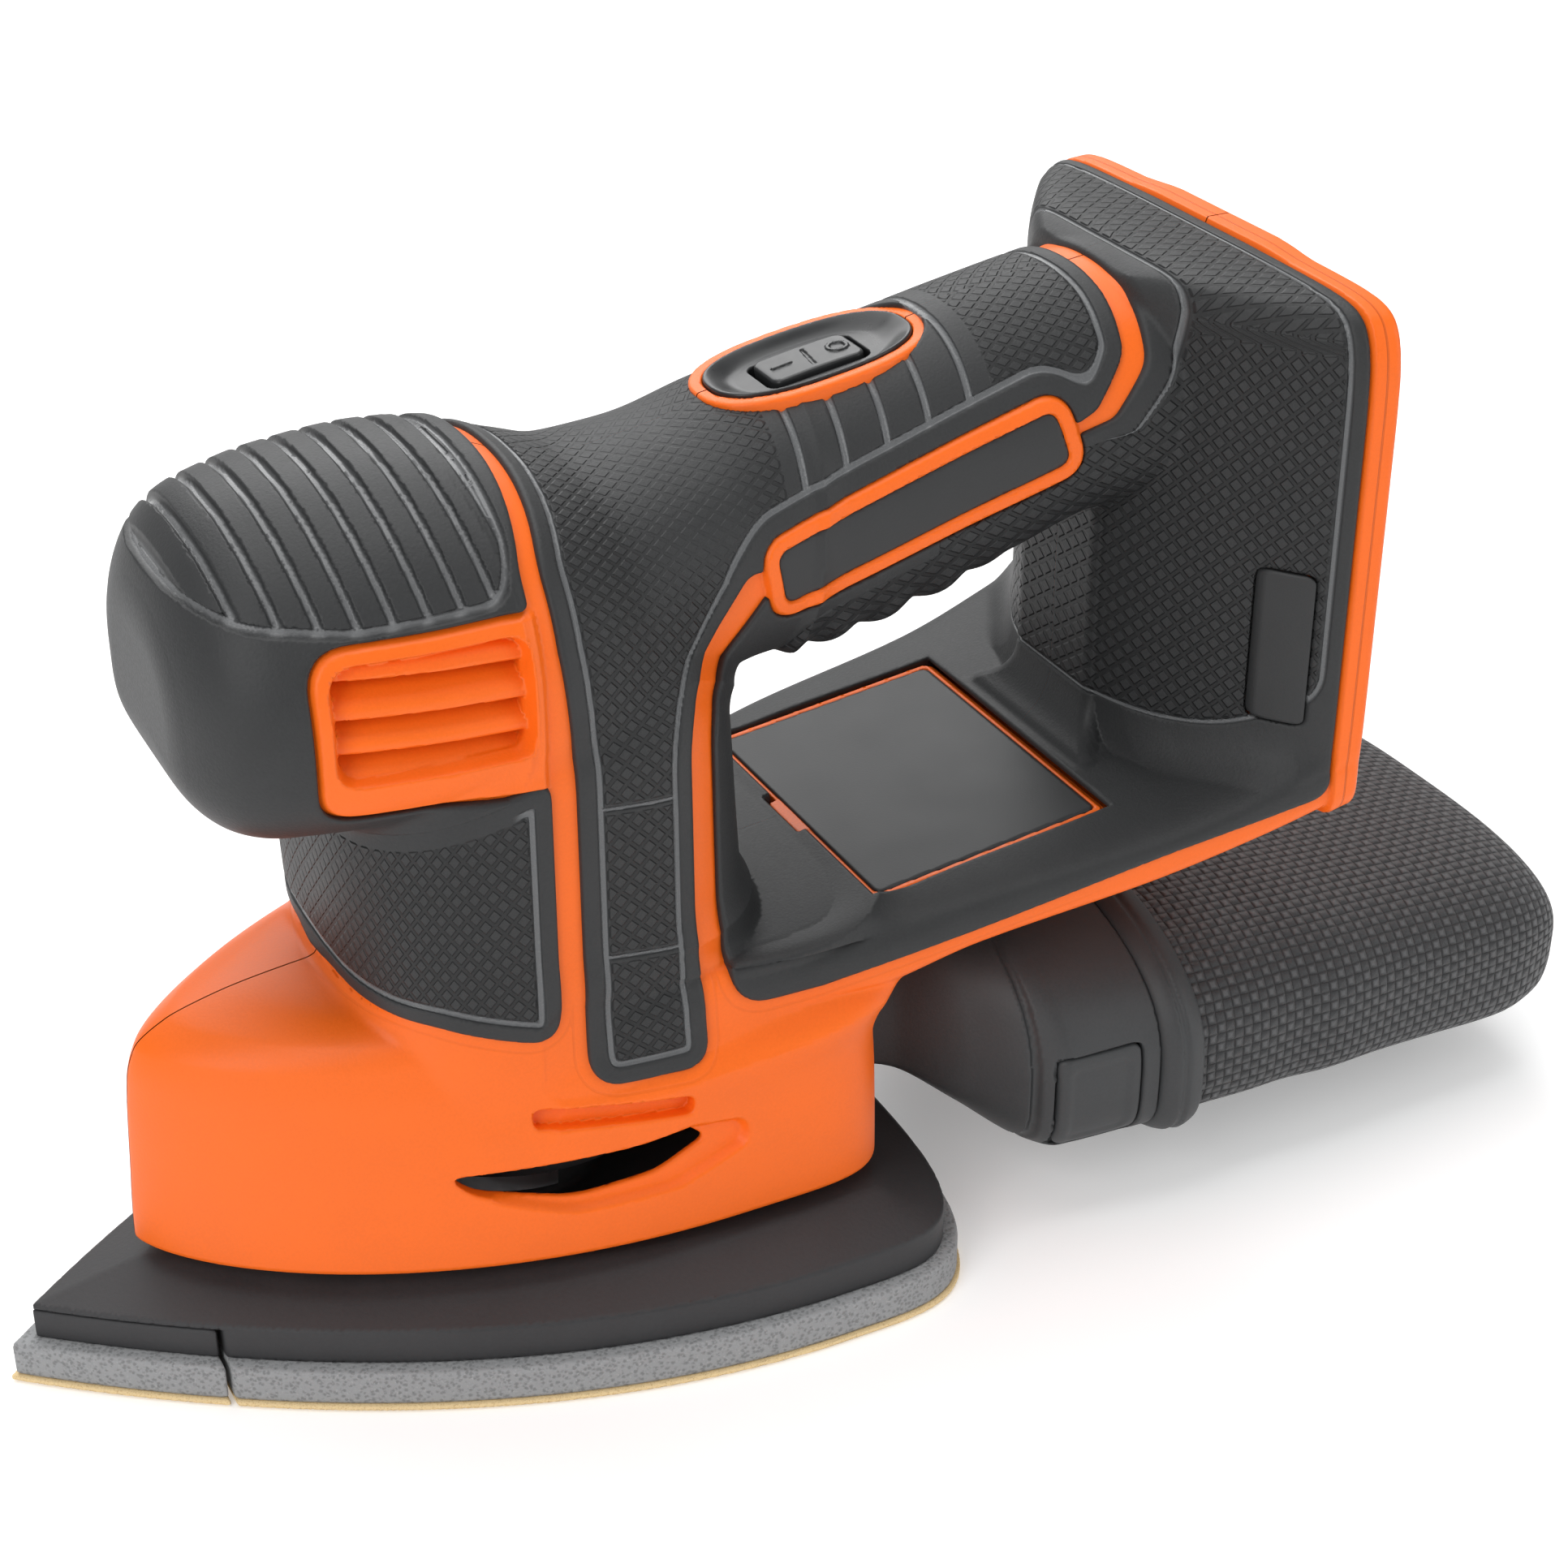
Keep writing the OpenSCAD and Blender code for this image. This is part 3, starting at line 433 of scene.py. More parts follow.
POCKET_START, POCKET_HALF, POCKET_Z = 110, 33, (30, 138)  # where the battery slides in
TERMINAL_X, TERMINAL_HALF, TERMINAL_Z = (104, 112), 7, (120, 130)
OUTLET_X, OUTLET_HALF, OUTLET_Z = (40, 60), 14, (27, 42)  # where the dust leaves the skirt
SCREW_RADIUS = 3.3
# each screw way's x and z, and how far from the middle its head sits
SCREW_WAYS = [(-43, 37, 7), (40, 40, 12), (-35, 104, 12), (26, 113, 12), (83, 119, 12),
              (101, 132, 12), (101, 62.8, 12), (37, 52.6, 12)]


def without_screw_ways(f, p):
    for x, z, seat in SCREW_WAYS:
        bore = disc(p[:, 0] - x, p[:, 2] - z, SCREW_RADIUS)
        f = without(f, np.maximum(bore, seat - np.abs(p[:, 1])), 0.5)
    return f


def finger_bumps(p):
    """Soft ribs under the handle for the fingers."""
    start, end, crest, pitch = 43, 72, 47.5, 8.6
    wave = 0.5 + 0.5 * np.cos(2 * math.pi * (p[:, 0] - crest) / pitch)
    low = look_up(handle.table, p[:, 0])[0]
    near = step(low + 5 - p[:, 2], 3) * step(p[:, 2] - low + 12, 3)
    return wave * step(p[:, 0] - start, 4) * step(end - p[:, 0], 4) * near


def outer(p):
    """Body with the soft finger ribs, shared by the housing and its rubber panels."""
    return body(p) - 1.1 * finger_bumps(p)


def louvre_slots(p, d):
    """Slots in the window that climb as they go in, so their floors show."""
    climb, taper, half, deepest = 0.7, 0.12, 1.5, 6.5
    levels = (100.2, 104.9, 109.9, 115.2)
    depth = np.maximum(-d, 0)
    z = p[:, 2] - climb * depth + 0.055 * (p[:, 0] + 18)
    slots = joined(*[np.abs(z - level) for level in levels]) - half + taper * depth
    inside = window_zone.side(p) + 0.6
    return shared(slots, inside, -d - deepest)


def switch_oval(x, y, grow=0):
    """Distance from the outline of the switch's boot, made larger all round by grow."""
    return oval(x, y, BOOT_A + grow, BOOT_B + grow)


def plate_frame(p):
    """Distance from the outside of the name plate's frame, seen from the side."""
    return plate_zone.side(p) - FRAME


def panel_edge(p):
    """How far a point lies outside the nearest rubber panel, seen from the side."""
    x, z = p[:, 0], p[:, 2]
    plate = plate_frame(p)
    sx, sy, sz = switch_frame(p)
    ring = np.where(sz > -12, switch_oval(sx, sy, BEZEL) - 0.2, 9)
    nose = np.maximum(nose_zone(x, z), np.where(np.abs(p[:, 1]) > 8, 0.15 - louvre_zone(x, z), -9))
    grips = shared(grip_zone(x, z), -plate, -ring)
    return joined(grips, front_zone(x, z), np.maximum(foot_zone(x, z), -plate), nose)


def storage_hole(p):
    """The lid's well, the room its barrel swings in, and the notch for its thumb nib."""
    x, y, z = lid_frame(p)
    box = shared(slab(x, BARREL, 41.4), np.abs(y) - LID_ROOM, slab(z, -11, 20))
    swing = disc(x - BARREL, z + BARREL, LID_SWING)
    above = np.maximum(slab(x, 1.75, BARREL + 1), slab(z, 0, 20))
    box = np.minimum(box, np.maximum(np.minimum(swing, above), np.abs(y) - LID_ROOM))
    nib = shared(slab(x, 41, 42.6), np.abs(y) - 5.8, slab(z, -2.4, 20))
    return np.minimum(box, nib)


def frames_and_seats(p, d):
    """The outer form with its raised frames and rim, and sunk seats under panels, plates and vents."""
    x, y, z = p.T
    on_side = step(np.abs(y) - 10, 2)
    plate = plate_zone(x, z)
    f = d - 1.2 * on_side * step(-(plate - FRAME + 0.15), 0.5) + 1.5 * on_side * step(-plate - 0.3, 0.4)
    f = f - PROUD * on_side * step(-louvre_zone(x, z) - 0.35, 0.45) * step(-3.6 - x, 0.5)
    f = f + 0.8 * step(-panel_edge(p) - 1.6, 0.5)
    rim = step(x - RIM_START, 0.3)
    top_middle = step(17 - np.abs(y), 5) * step(z - 136, 2)
    f = f - RIM * rim - 0.4 * rim * top_middle
    f = f + 2.0 * on_side * step(-window_zone(x, z), 0.5)
    return f + 1.5 * on_side * step(-vent_lip_zone(x, z), 0.7)


def chambers(f, p):
    """Cuts the skirt's hollow, the vent, the storage well, the battery pocket and two openings."""
    x, y, z = p.T
    out = np.abs(y)
    wall = 2.6 + 1.6 * step(z - 37, 1.5)
    hollow = np.maximum(normalised(skirt_rho, p)[0] + wall, z - 45)
    vent = np.maximum(vent_zone(x, z), 18 - out)
    well = storage_hole(p)
    lined = np.maximum(well - LINING, -4 - lid_frame(p)[2])
    pocket = shared(POCKET_START - x, out - POCKET_HALF, slab(z, *POCKET_Z))
    terminal = shared(slab(x, *TERMINAL_X), out - TERMINAL_HALF, slab(z, *TERMINAL_Z))
    outlet = shared(slab(x, *OUTLET_X), out - OUTLET_HALF, slab(z, *OUTLET_Z))
    for cut, k in ((hollow, 0.5), (vent, 0.5), (np.minimum(well, lined), 0.4), (pocket, 0.5)):
        f = without(f, cut, k)
    return np.maximum(f, -np.minimum(terminal, outlet))


def housing(p, screws=False):
    """The orange shell: seats and frames, the blind slot, the switch's ring and seat, and all holes."""
    d = outer(p)
    f = frames_and_seats(p, d)
    f = without(f, shared(blind_zone.side(p), -d - 1.9, 18 - np.abs(p[:, 1])), 0.5)
    x, y, z = switch_frame(p)
    ring = smooth_max(switch_oval(x, y, BEZEL), z - 0.8, 0.6)
    f = smooth_min(f, np.maximum(ring, -5 - z), 0.4)
    f = without(f, louvre_slots(p, d), 0.9)
    f = without(f, np.maximum(switch_oval(x, y), -14 - z), 0.4)
    f = chambers(f, p)
    return without_screw_ways(f, p) if screws else f


def shell(d, zone, top=PROUD, k=0.9, depth=1.0):
    """A skin over the body, its outer edge rounded, reaching depth into the wall."""
    return np.maximum(smooth_max(d - top, zone + 0.12, k), -(d + depth))


def groove(distance, half=0.45):
    """Depth of a fine groove along the places where distance is 0."""
    return 0.4 * step(half - np.abs(distance), 0.3)


def grip_edge(p):
    """Distance from the grip's border, which follows the plate's frame with soft corners."""
    edge = grip_zone.side(p)
    round_plate = smooth_max(edge, -plate_frame(p), 4)
    return np.where(p[:, 1] > -9, edge, round_plate)


def grip_grooves(p):
    """The grip's border line, the two bars across its column and the bars on the handle."""
    x, z = p[:, 0], p[:, 2]
    edge = grip_edge(p)
    inside = step(-edge - BORDER, 0.3)
    lines = groove(edge + BORDER)
    for level in BAR_LEVELS:
        lines = np.maximum(lines, groove(z + x * BAR_LEAN - level, 0.25) * inside * step(19 - x, 1))
    along = x - (z - BARS_LEVEL) * BARS_LEAN
    bars = ((along - BARS[0]) / BAR_PITCH % 1 - 0.5) * BAR_PITCH
    barred = step(along - BARS[0], 0.3) * step(BARS[1] - along, 0.3)
    return np.maximum(lines, groove(bars) * inside * barred)


def front_grooves(p):
    """The front panel's border line, left out under the nose."""
    below = np.maximum(step(84 - p[:, 2], 1), step(p[:, 0] + 8, 1))
    return groove(front_zone.side(p) + BORDER) * below


def foot_knurl(p):
    """Distance into the foot's knurled area, which stops short of the collar round the handle."""
    edge = np.maximum(foot_zone.side(p), -plate_frame(p))
    away = 30 * np.maximum(step(119 - p[:, 2], 3), step(p[:, 0] - 105, 2))
    return np.maximum(foot_knurl_zone.side(p), edge + 3.8 - away)


def grip(p, screws=False):
    f = shell(outer(p), grip_zone.side(p), top=PROUD - grip_grooves(p))
    f = without(f, plate_frame(p), 0.5)
    x, y, z = switch_frame(p)
    f = without(f, np.maximum(switch_oval(x, y, BEZEL - 0.4), -10 - z), 0.6)
    return without_screw_ways(f, p) if screws else f


def front_panel(p):
    return shell(outer(p), front_zone.side(p), top=PROUD - front_grooves(p))


def foot_panel(p, screws=False):
    """The rear panel, thicker round the storage hole, which it lines."""
    hole = storage_hole(p)
    lines = groove(foot_knurl(p) + 0.2, 0.3) * step(p[:, 0] - 87, 1)
    f = shell(outer(p), foot_zone.side(p), top=PROUD - lines,
              depth=1.0 + 6 * step(LINING - 0.3 - hole, 0.3))
    f = without(f, plate_frame(p), 0.5)
    f = without(f, hole, 0.5)
    badge = badge_zone.side(p)
    f = without(f, np.maximum(badge - 0.12, 25 - np.abs(p[:, 1])), 0.3)
    return without_screw_ways(f, p) if screws else f


RIB_PITCH = 4.5


def rib_groove(p):
    """Distance across the nearest groove over the nose, and how far inside the ribbed area."""
    lean = p[:, 0] + 0.19 * (p[:, 2] - 119.5)
    across = np.abs((lean + 8.2 + RIB_PITCH / 2) % RIB_PITCH - RIB_PITCH / 2)
    return across, ribbed_zone.side(p)


def nose_cap(p):
    """The bumper over the nose, its ribs parted by grooves."""
    across, zone = rib_groove(p)
    ribs = 0.9 * step(0.58 - across, 0.3) * step(-zone - 0.2, 0.4)
    dips = np.maximum(ribs, 0.8 * step(0.5 - np.abs(zone), 0.3))
    f = shell(body(p), nose_zone.side(p), top=1.1 - dips, depth=1.9)
    louvre = np.maximum(louvre_zone.side(p) - 0.15, 8 - np.abs(p[:, 1]))
    return without(f, louvre, 0.9)


def plate_piece(zone, top, near):
    """The field of a plate that fills a zone, further out than near, and stands top above the body."""
    def field(p):
        z = np.maximum(zone.side(p), near - np.abs(p[:, 1]))
        return shell(outer(p), z, top, 0.5)
    return field


# ---------- from field to mesh ----------

def spread(field, p):
    """The field at many points, worked out on several cores."""
    parts = np.array_split(p.astype(SINGLE), max(1, len(p) // 40000))
    with ThreadPoolExecutor(4) as pool:
        return np.concatenate([np.asarray(v, SINGLE) for v in pool.map(field, parts)])


def sample_grid(field, low, blocks, pitch):
    """Field values on a grid, exact near the surface and coarse elsewhere."""
    reach = pitch * BLOCK
    centres = [low[i] + reach * (np.arange(blocks[i]) + 0.5) for i in range(3)]
    points = np.stack(np.meshgrid(*centres, indexing="ij"), -1).reshape(-1, 3)
    coarse = spread(field, points).reshape(blocks)
    near = np.argwhere(np.abs(coarse) < reach * 1.8)
    grid = np.empty(blocks * BLOCK + 1, SINGLE)
    grid[:-1, :-1, :-1] = coarse.repeat(BLOCK, 0).repeat(BLOCK, 1).repeat(BLOCK, 2)
    grid[-1], grid[:, -1], grid[:, :, -1] = grid[-2], grid[:, -2], grid[:, :, -2]
    wanted = np.zeros(grid.shape, bool)
    for a in range(BLOCK + 1):
        for b in range(BLOCK + 1):
            for c in range(BLOCK + 1):
                wanted[tuple((near * BLOCK + (a, b, c)).T)] = True
    grid[wanted] = spread(field, np.argwhere(wanted) * pitch + low)
    return grid


CORNERS = np.array([[a, b, c] for a in (0, 1) for b in (0, 1) for c in (0, 1)])
EDGES = [(i, j) for i in range(8) for j in range(i + 1, 8) if abs(CORNERS[i] - CORNERS[j]).sum() == 1]


def surface_net(field, low, high, pitch, seam=False):
    """Vertices and quads on the surface of a field. With seam, the last layer is cut flat at high Y."""
    low, high = np.array(low, float), np.array(high, float)
    blocks = np.ceil((high - low) / pitch / BLOCK).astype(int)
    if seam:
        low[1] = high[1] - blocks[1] * BLOCK * pitch
    grid = sample_grid(field, low, blocks, pitch)
    inside = grid < 0
    count = sum(inside[tuple(slice(c[i], grid.shape[i] - 1 + c[i]) for i in range(3))].astype(np.int8)
                for c in CORNERS)
    cells = np.argwhere((count > 0) & (count < 8))
    value = np.stack([grid[tuple((cells + c).T)] for c in CORNERS])
    total, hits = np.zeros((len(cells), 3)), np.zeros(len(cells))
    for i, j in EDGES:
        crossed = (value[i] < 0) != (value[j] < 0)
        t = value[i] / np.where(crossed, value[i] - value[j], 1)
        spot = CORNERS[i] + t[:, None] * (CORNERS[j] - CORNERS[i])
        total += np.where(crossed[:, None], spot, 0)
        hits += crossed
    points = low + pitch * (cells + total / hits[:, None])
    number = np.full(np.array(grid.shape) - 1, -1, np.int32)
    number[tuple(cells.T)] = np.arange(len(cells))
    quads = []
    for axis in range(3):
        b, c = (axis + 1) % 3, (axis + 2) % 3
        along = np.eye(3, dtype=int)
        first = [slice(1, -1)] * 3
        first[axis] = slice(0, -1)
        second = list(first)
        second[axis] = slice(1, None)
        here, there = inside[tuple(first)], inside[tuple(second)]
        edge = np.argwhere(here != there) + [0 if k == axis else 1 for k in range(3)]
        leaving = inside[tuple(edge.T)]
        around = [edge, edge - along[b], edge - along[b] - along[c], edge - along[c]]
        ring = np.stack([number[tuple(r.T)] for r in around], 1)
        quads.append(np.where(leaving[:, None], ring, ring[:, ::-1]))
    locked = cells[:, 1] == blocks[1] * BLOCK - 1 if seam else np.zeros(len(cells), bool)
    points[locked, 1] = high[1]
    return points, np.concatenate(quads), locked


def gradient(field, points):
    value = spread(field, points)
    return value, np.stack(slopes(lambda q: spread(field, q), points, value, 0.04), 1)


def settle(field, points, locked, pitch, rounds=2):
    """Moves points onto the surface, and returns them with their normals."""
    for _ in range(rounds):
        value, slope = gradient(field, points)
        slope[locked, 1] = 0
        size2 = np.maximum((slope**2).sum(1), 0.2)
        move = -(value / size2)[:, None] * slope
        far = np.sqrt((move**2).sum(1))
        points = points + move * np.minimum(1, 0.5 * pitch / np.maximum(far, 1e-6))[:, None]
    slope = gradient(field, points)[1]
    return points, slope / np.maximum(np.linalg.norm(slope, axis=1), 1e-6)[:, None]


def new_mesh(name, points, faces, normals=None, marks=None):
    """A mesh object from millimetre points and equal-sided faces, with named numbers on its points."""
    mesh = bpy.data.meshes.new(name)
    sides = faces.shape[1]
    mesh.vertices.add(len(points))
    mesh.vertices.foreach_set("co", (points * MM).astype(SINGLE).ravel())
    mesh.loops.add(faces.size)
    mesh.loops.foreach_set("vertex_index", faces.astype(np.int32).ravel())
    mesh.polygons.add(len(faces))
    mesh.polygons.foreach_set("loop_start", np.arange(0, faces.size, sides, dtype=np.int32))
    mesh.update(calc_edges=True)
    mesh.polygons.foreach_set("use_smooth", np.ones(len(faces), bool))
    for key, values in (marks or {}).items():
        layer = mesh.attributes.new(key, "FLOAT", "POINT")
        layer.data.foreach_set("value", values.astype(SINGLE))
    if normals is not None:
        mesh.normals_split_custom_set_from_vertices(normals.tolist())
    thing = bpy.data.objects.new(name, mesh)
    bpy.context.scene.collection.objects.link(thing)
    return thing


def carved(name, field, low, high, pitch, marks=None, mirrored=False, seam=False):
    """A mesh object from a field. Left halves are made at negative Y; mirrored makes a right half."""
    pitch = pitch * COARSE
    points, faces, locked = surface_net(field, low, high, pitch, seam)
    points, normals = settle(field, points, locked, pitch)
    values = marks(points.astype(SINGLE)) if marks else {}
    if mirrored:
        points[:, 1] *= -1
        normals[:, 1] *= -1
        faces = faces[:, ::-1]
    return new_mesh(name, points, faces, normals, values)


# ---------- shader arithmetic ----------

class Value:
    """A number in a shader tree; arithmetic on it adds the nodes."""

    def __init__(self, tree, socket):
        self.tree, self.socket = tree, socket

    def apply(self, kind, *others):
        node = self.tree.nodes.new("ShaderNodeMath")
        node.operation = kind
        for slot, source in enumerate((self, *others)):
            if isinstance(source, Value):
                self.tree.links.new(source.socket, node.inputs[slot])
            else:
                node.inputs[slot].default_value = source
        return Value(self.tree, node.outputs[0])

    __add__ = partialmethod(apply, "ADD")
    __sub__ = partialmethod(apply, "SUBTRACT")
    __mul__ = partialmethod(apply, "MULTIPLY")
    __truediv__ = partialmethod(apply, "DIVIDE")
    abs = partialmethod(apply, "ABSOLUTE")
    fract = partialmethod(apply, "FRACT")
    floor = partialmethod(apply, "FLOOR")
    sin = partialmethod(apply, "SINE")
    min = partialmethod(apply, "MINIMUM")
    max = partialmethod(apply, "MAXIMUM")

    def __rsub__(self, other):
        return self * -1.0 + other

    def rise(self, low, high):
        """0 below low, 1 above high, smooth between; low above high turns it round."""
        node = self.tree.nodes.new("ShaderNodeMapRange")
        node.interpolation_type = "SMOOTHSTEP"
        ends = (high, low, 1.0, 0.0) if low > high else (low, high, 0.0, 1.0)
        for key, end in zip(("From Min", "From Max", "To Min", "To Max"), ends):
            node.inputs[key].default_value = end
        self.tree.links.new(self.socket, node.inputs["Value"])
        return Value(self.tree, node.outputs["Result"])


class Paint:
    """A Principled material in the making, with millimetre coordinates."""

    def __init__(self, name, colour, rough, **extra):
        self.material = bpy.data.materials.new(name)
        self.material.use_nodes = True
        self.tree = self.material.node_tree
        self.shader = self.tree.nodes["Principled BSDF"]
        base = self.node("RGB")
        base.outputs[0].default_value = (*colour, 1)
        self.colour = base.outputs[0]
        self.shader.inputs["Roughness"].default_value = rough
        self.shader.inputs["Specular IOR Level"].default_value = 0.35
        for key, value in extra.items():
            self.shader.inputs[key.replace("_", " ")].default_value = value
        self.place = self.node("TexCoord").outputs["Object"]
        split = self.node("SeparateXYZ", Vector=self.place)
        self.x, self.z = (Value(self.tree, split.outputs[i]) * 1000.0 for i in (0, 2))

    def node(self, kind, **inputs):
        """A new node; each input is a number or the socket that feeds it."""
        node = self.tree.nodes.new("ShaderNode" + kind)
        for key, source in inputs.items():
            if isinstance(source, float):
                node.inputs[key].default_value = source
            else:
                self.tree.links.new(source, node.inputs[key])
        return node

    def mark(self, name):
        node = self.node("Attribute")
        node.attribute_name = name
        return Value(self.tree, node.outputs["Fac"])

    def noise(self, size, detail=2.0):
        """Noise from 0 to 1 with features about size millimetres across."""
        node = self.node("TexNoise", Vector=self.place, Scale=1000.0 / size, Detail=float(detail))
        return Value(self.tree, node.outputs["Fac"])

    def cells(self, size):
        node = self.node("TexVoronoi", Vector=self.place, Scale=1000.0 / size)
        return Value(self.tree, node.outputs["Distance"])

    def tint(self, colour, amount):
        """Mixes a colour in where amount is 1."""
        node = self.node("Mix")
        node.data_type = "RGBA"
        self.tree.links.new(amount.socket, node.inputs["Factor"])
        self.tree.links.new(self.colour, node.inputs["A"])
        node.inputs["B"].default_value = (*colour, 1)
        self.colour = node.outputs["Result"]

    def rough(self, value):
        self.tree.links.new(value.socket, self.shader.inputs["Roughness"])

    def finish(self, height):
        """Closes the material with a surface height in millimetres."""
        bump = self.node("Bump", Distance=MM, Strength=1.0, Height=height.socket)
        self.tree.links.new(bump.outputs["Normal"], self.shader.inputs["Normal"])
        self.tree.links.new(self.colour, self.shader.inputs["Base Color"])
        return self.material


ORANGE = (0.90, 0.143, 0.006)
RUBBER = (0.028, 0.029, 0.030)


def moulded(name, colour, rough, grain=0.02, size=0.45, shade=0.8, **extra):
    """Plain moulded plastic or rubber: fine grain, faint colour drift and uneven shine."""
    paint = Paint(name, colour, rough, **extra)
    fine = paint.noise(size, 3)
    drift = paint.noise(9)
    dark = tuple(c * shade for c in colour)
    paint.tint(dark, (fine * 0.55 + drift * 0.45).rise(0.62, 0.36) * 0.6)
    paint.rough(fine * 0.12 + drift * 0.08 + (rough - 0.1))
    return paint, fine * grain


def plain(name, colour, rough, **extra):
    paint, height = moulded(name, colour, rough, **extra)
    return paint.finish(height)


def orange_plastic():
    """The housing's plastic, with a fine dark line of painted shade along a slight step round the skirt's
    panel seats, and a fine dark line across the rim.
    """
    paint, height = moulded("orange_plastic", ORANGE, 0.43, grain=0.025, size=0.4, shade=0.93)
    edge = paint.mark("edge")
    # painted shade: a darker line along the slight step round the skirt's panel seats
    step_shade = (edge - 1.7).abs().rise(0.3, 0.08) * paint.z.rise(60.0, 56.0) * 0.3
    rim = (paint.x - 117.1).abs().rise(0.2, 0.05)
    line = step_shade.max(rim)
    # tints both lines darker; along the step this is painted shade
    paint.tint(tuple(c * 0.6 for c in ORANGE), line * 0.6)
    return paint.finish(height - line * 0.12)


KNURL = 2.7
# GROOVE_HIGHLIGHT is a painted highlight for the rubber's grooved lines; GAP_SHADE is painted shade
# between the knurl pads
GROOVE_HIGHLIGHT, GAP_SHADE = (0.16, 0.165, 0.17), (0.010, 0.0105, 0.011)


def knurled_rubber(name, kind):
    """Rubber skin with a border line and diamond pads, the lines lightened by a painted highlight and the
    gaps between pads darkened by painted shade; kind is grip, front or foot.

    The meshes carry the distance from the border (edge) and flat coordinates over the skin (u, v).
    """
    paint, height = moulded(name, RUBBER, 0.56, grain=0.05, size=0.42)
    edge, u, v = paint.mark("edge"), paint.mark("u"), paint.mark("v")
    x, z = paint.x, paint.z
    line = (edge + BORDER).abs().rise(0.58, 0.34)
    pads = edge.rise(-3.7, -4.1)
    if kind == "grip":
        for level in BAR_LEVELS:
            across = (z + x * BAR_LEAN - level).abs()
            line = line.max(across.rise(0.38, 0.18) * edge.rise(-3.0, -3.4) * x.rise(20, 18))
            pads = pads * across.rise(0.7, 1.0)
        along = x - (z - float(BARS_LEVEL)) * BARS_LEAN
        first, last = BARS
        bars = ((along - first) / BAR_PITCH).fract() - 0.5
        barred = along.rise(first - 0.2, first + 0.2) * along.rise(last + 0.2, last - 0.2)
        line = line.max(bars.abs().rise(0.105, 0.065) * barred * edge.rise(-3.0, -3.4))
        pads = pads * along.rise(first + 0.4, first - 0.2).max(along.rise(last, last + 0.6))
        fade = (x - 24.0).abs().rise(4.0, 16.0).max(z.rise(118.0, 108.0))
        pads = pads * (fade * 0.8 + 0.2)
    if kind == "front":
        line = line * z.rise(85.0, 83.0).max(x.rise(-9.0, -7.0))
    if kind == "foot":
        area = paint.mark("knurl")
        line = (area + 0.2).abs().rise(0.42, 0.2) * x.rise(86.0, 88.0)
        pads = area.rise(-0.7, -1.1).max(paint.mark("under").rise(-0.8, -1.4))
    a = ((u + v) / (KNURL * 1.1)).fract() - 0.5
    b = ((u - v) / (KNURL * 1.1)).fract() - 0.5
    pad = a.abs().max(b.abs()).rise(0.40, 0.29) * pads
    # painted shade in the gaps between the diamond pads
    paint.tint(GAP_SHADE, (pads - pad) * 0.7)
    # painted highlight along the border line and the bars
    paint.tint(GROOVE_HIGHLIGHT, line * 0.7)
    paint.rough(line * -0.28 + paint.noise(0.5) * 0.14 + 0.47)
    return paint.finish(height + pad * 0.34 - line * 0.2)


def nose_rubber():
    """Rubber with shinier grooves between the ribs, made paler by a painted highlight."""
    paint, height = moulded("nose_rubber", RUBBER, 0.54, grain=0.05, size=0.42)
    groove_gloss = paint.mark("groove")
    # painted highlight: a pale tint in the glossy grooves
    paint.tint((0.22, 0.225, 0.23), groove_gloss * 0.7)
    paint.rough(groove_gloss * -0.26 + paint.noise(0.5) * 0.14 + 0.45)
    return paint.finish(height)


def foam_grey():
    """Open-cell foam: dark pores and pale cell walls."""
    paint = Paint("foam_grey", (0.30, 0.305, 0.31), 0.95)
    pores, fine = paint.cells(0.7), paint.noise(0.35, 4)
    paint.tint((0.17, 0.173, 0.176), (pores * 0.7 + fine * 0.6).rise(0.72, 0.42) * 0.75)
    paint.tint((0.42, 0.42, 0.42), fine.rise(0.58, 0.75) * 0.5)
    return paint.finish(pores * 0.12 + fine * 0.12)


def abrasive_paper():
    paint = Paint("abrasive_paper", (0.79, 0.60, 0.33), 0.9)
    grit = paint.noise(0.25, 4)
    paint.tint((0.55, 0.36, 0.16), grit.rise(0.5, 0.7) * 0.7)
    return paint.finish(grit * 0.1)


THREAD = 1.6


def bag_weave():
    """Basket weave in black thread, over and under by turns, with painted shade in the gaps between
    threads and a painted highlight on the threads that lie one way.
    """
    paint = Paint("bag_weave", (0.033, 0.034, 0.036), 0.62, Sheen_Weight=0.15)
    u, v = paint.mark("u") / THREAD, paint.mark("v") / THREAD
    pick = ((u.floor() + v.floor()) / 2.0).fract().rise(0.2, 0.3)
    bow_u, bow_v = (u.fract() * math.pi).sin(), (v.fract() * math.pi).sin()
    over = bow_u * (1.0 - pick) + bow_v * pick
    thread = (paint.noise(0.18, 2) - 0.5) * 0.08
    gap = bow_u.min(bow_v)
    # painted shade in the gaps between the threads
    paint.tint((0.008, 0.008, 0.009), gap.rise(0.45, 0.1) * 0.85)
    # painted highlight on the threads that run one way
    paint.tint((0.10, 0.102, 0.106), pick * gap.rise(0.45, 0.9) * 0.65)
    return paint.finish(over * 0.3 + gap * 0.2 + thread)


def brushed_metal(name, colour, rough):
    paint = Paint(name, colour, rough, Metallic=1.0)
    scratch, cloud = paint.noise(0.12, 4), paint.noise(4)
    paint.tint(tuple(c * 0.7 for c in colour), cloud.rise(0.45, 0.7) * 0.5)
    paint.rough(scratch * 0.15 + (rough - 0.06))
    return paint.finish(scratch * 0.008)


def floor_paint():
    """Pale and faintly glowing, so the shadows on it stay soft."""
    paint = Paint("floor_paint", (0.85, 0.85, 0.85), 0.85,
                  Emission_Color=(1, 1, 1, 1), Emission_Strength=0.25)
    return paint.finish(paint.noise(30) * 0.01)


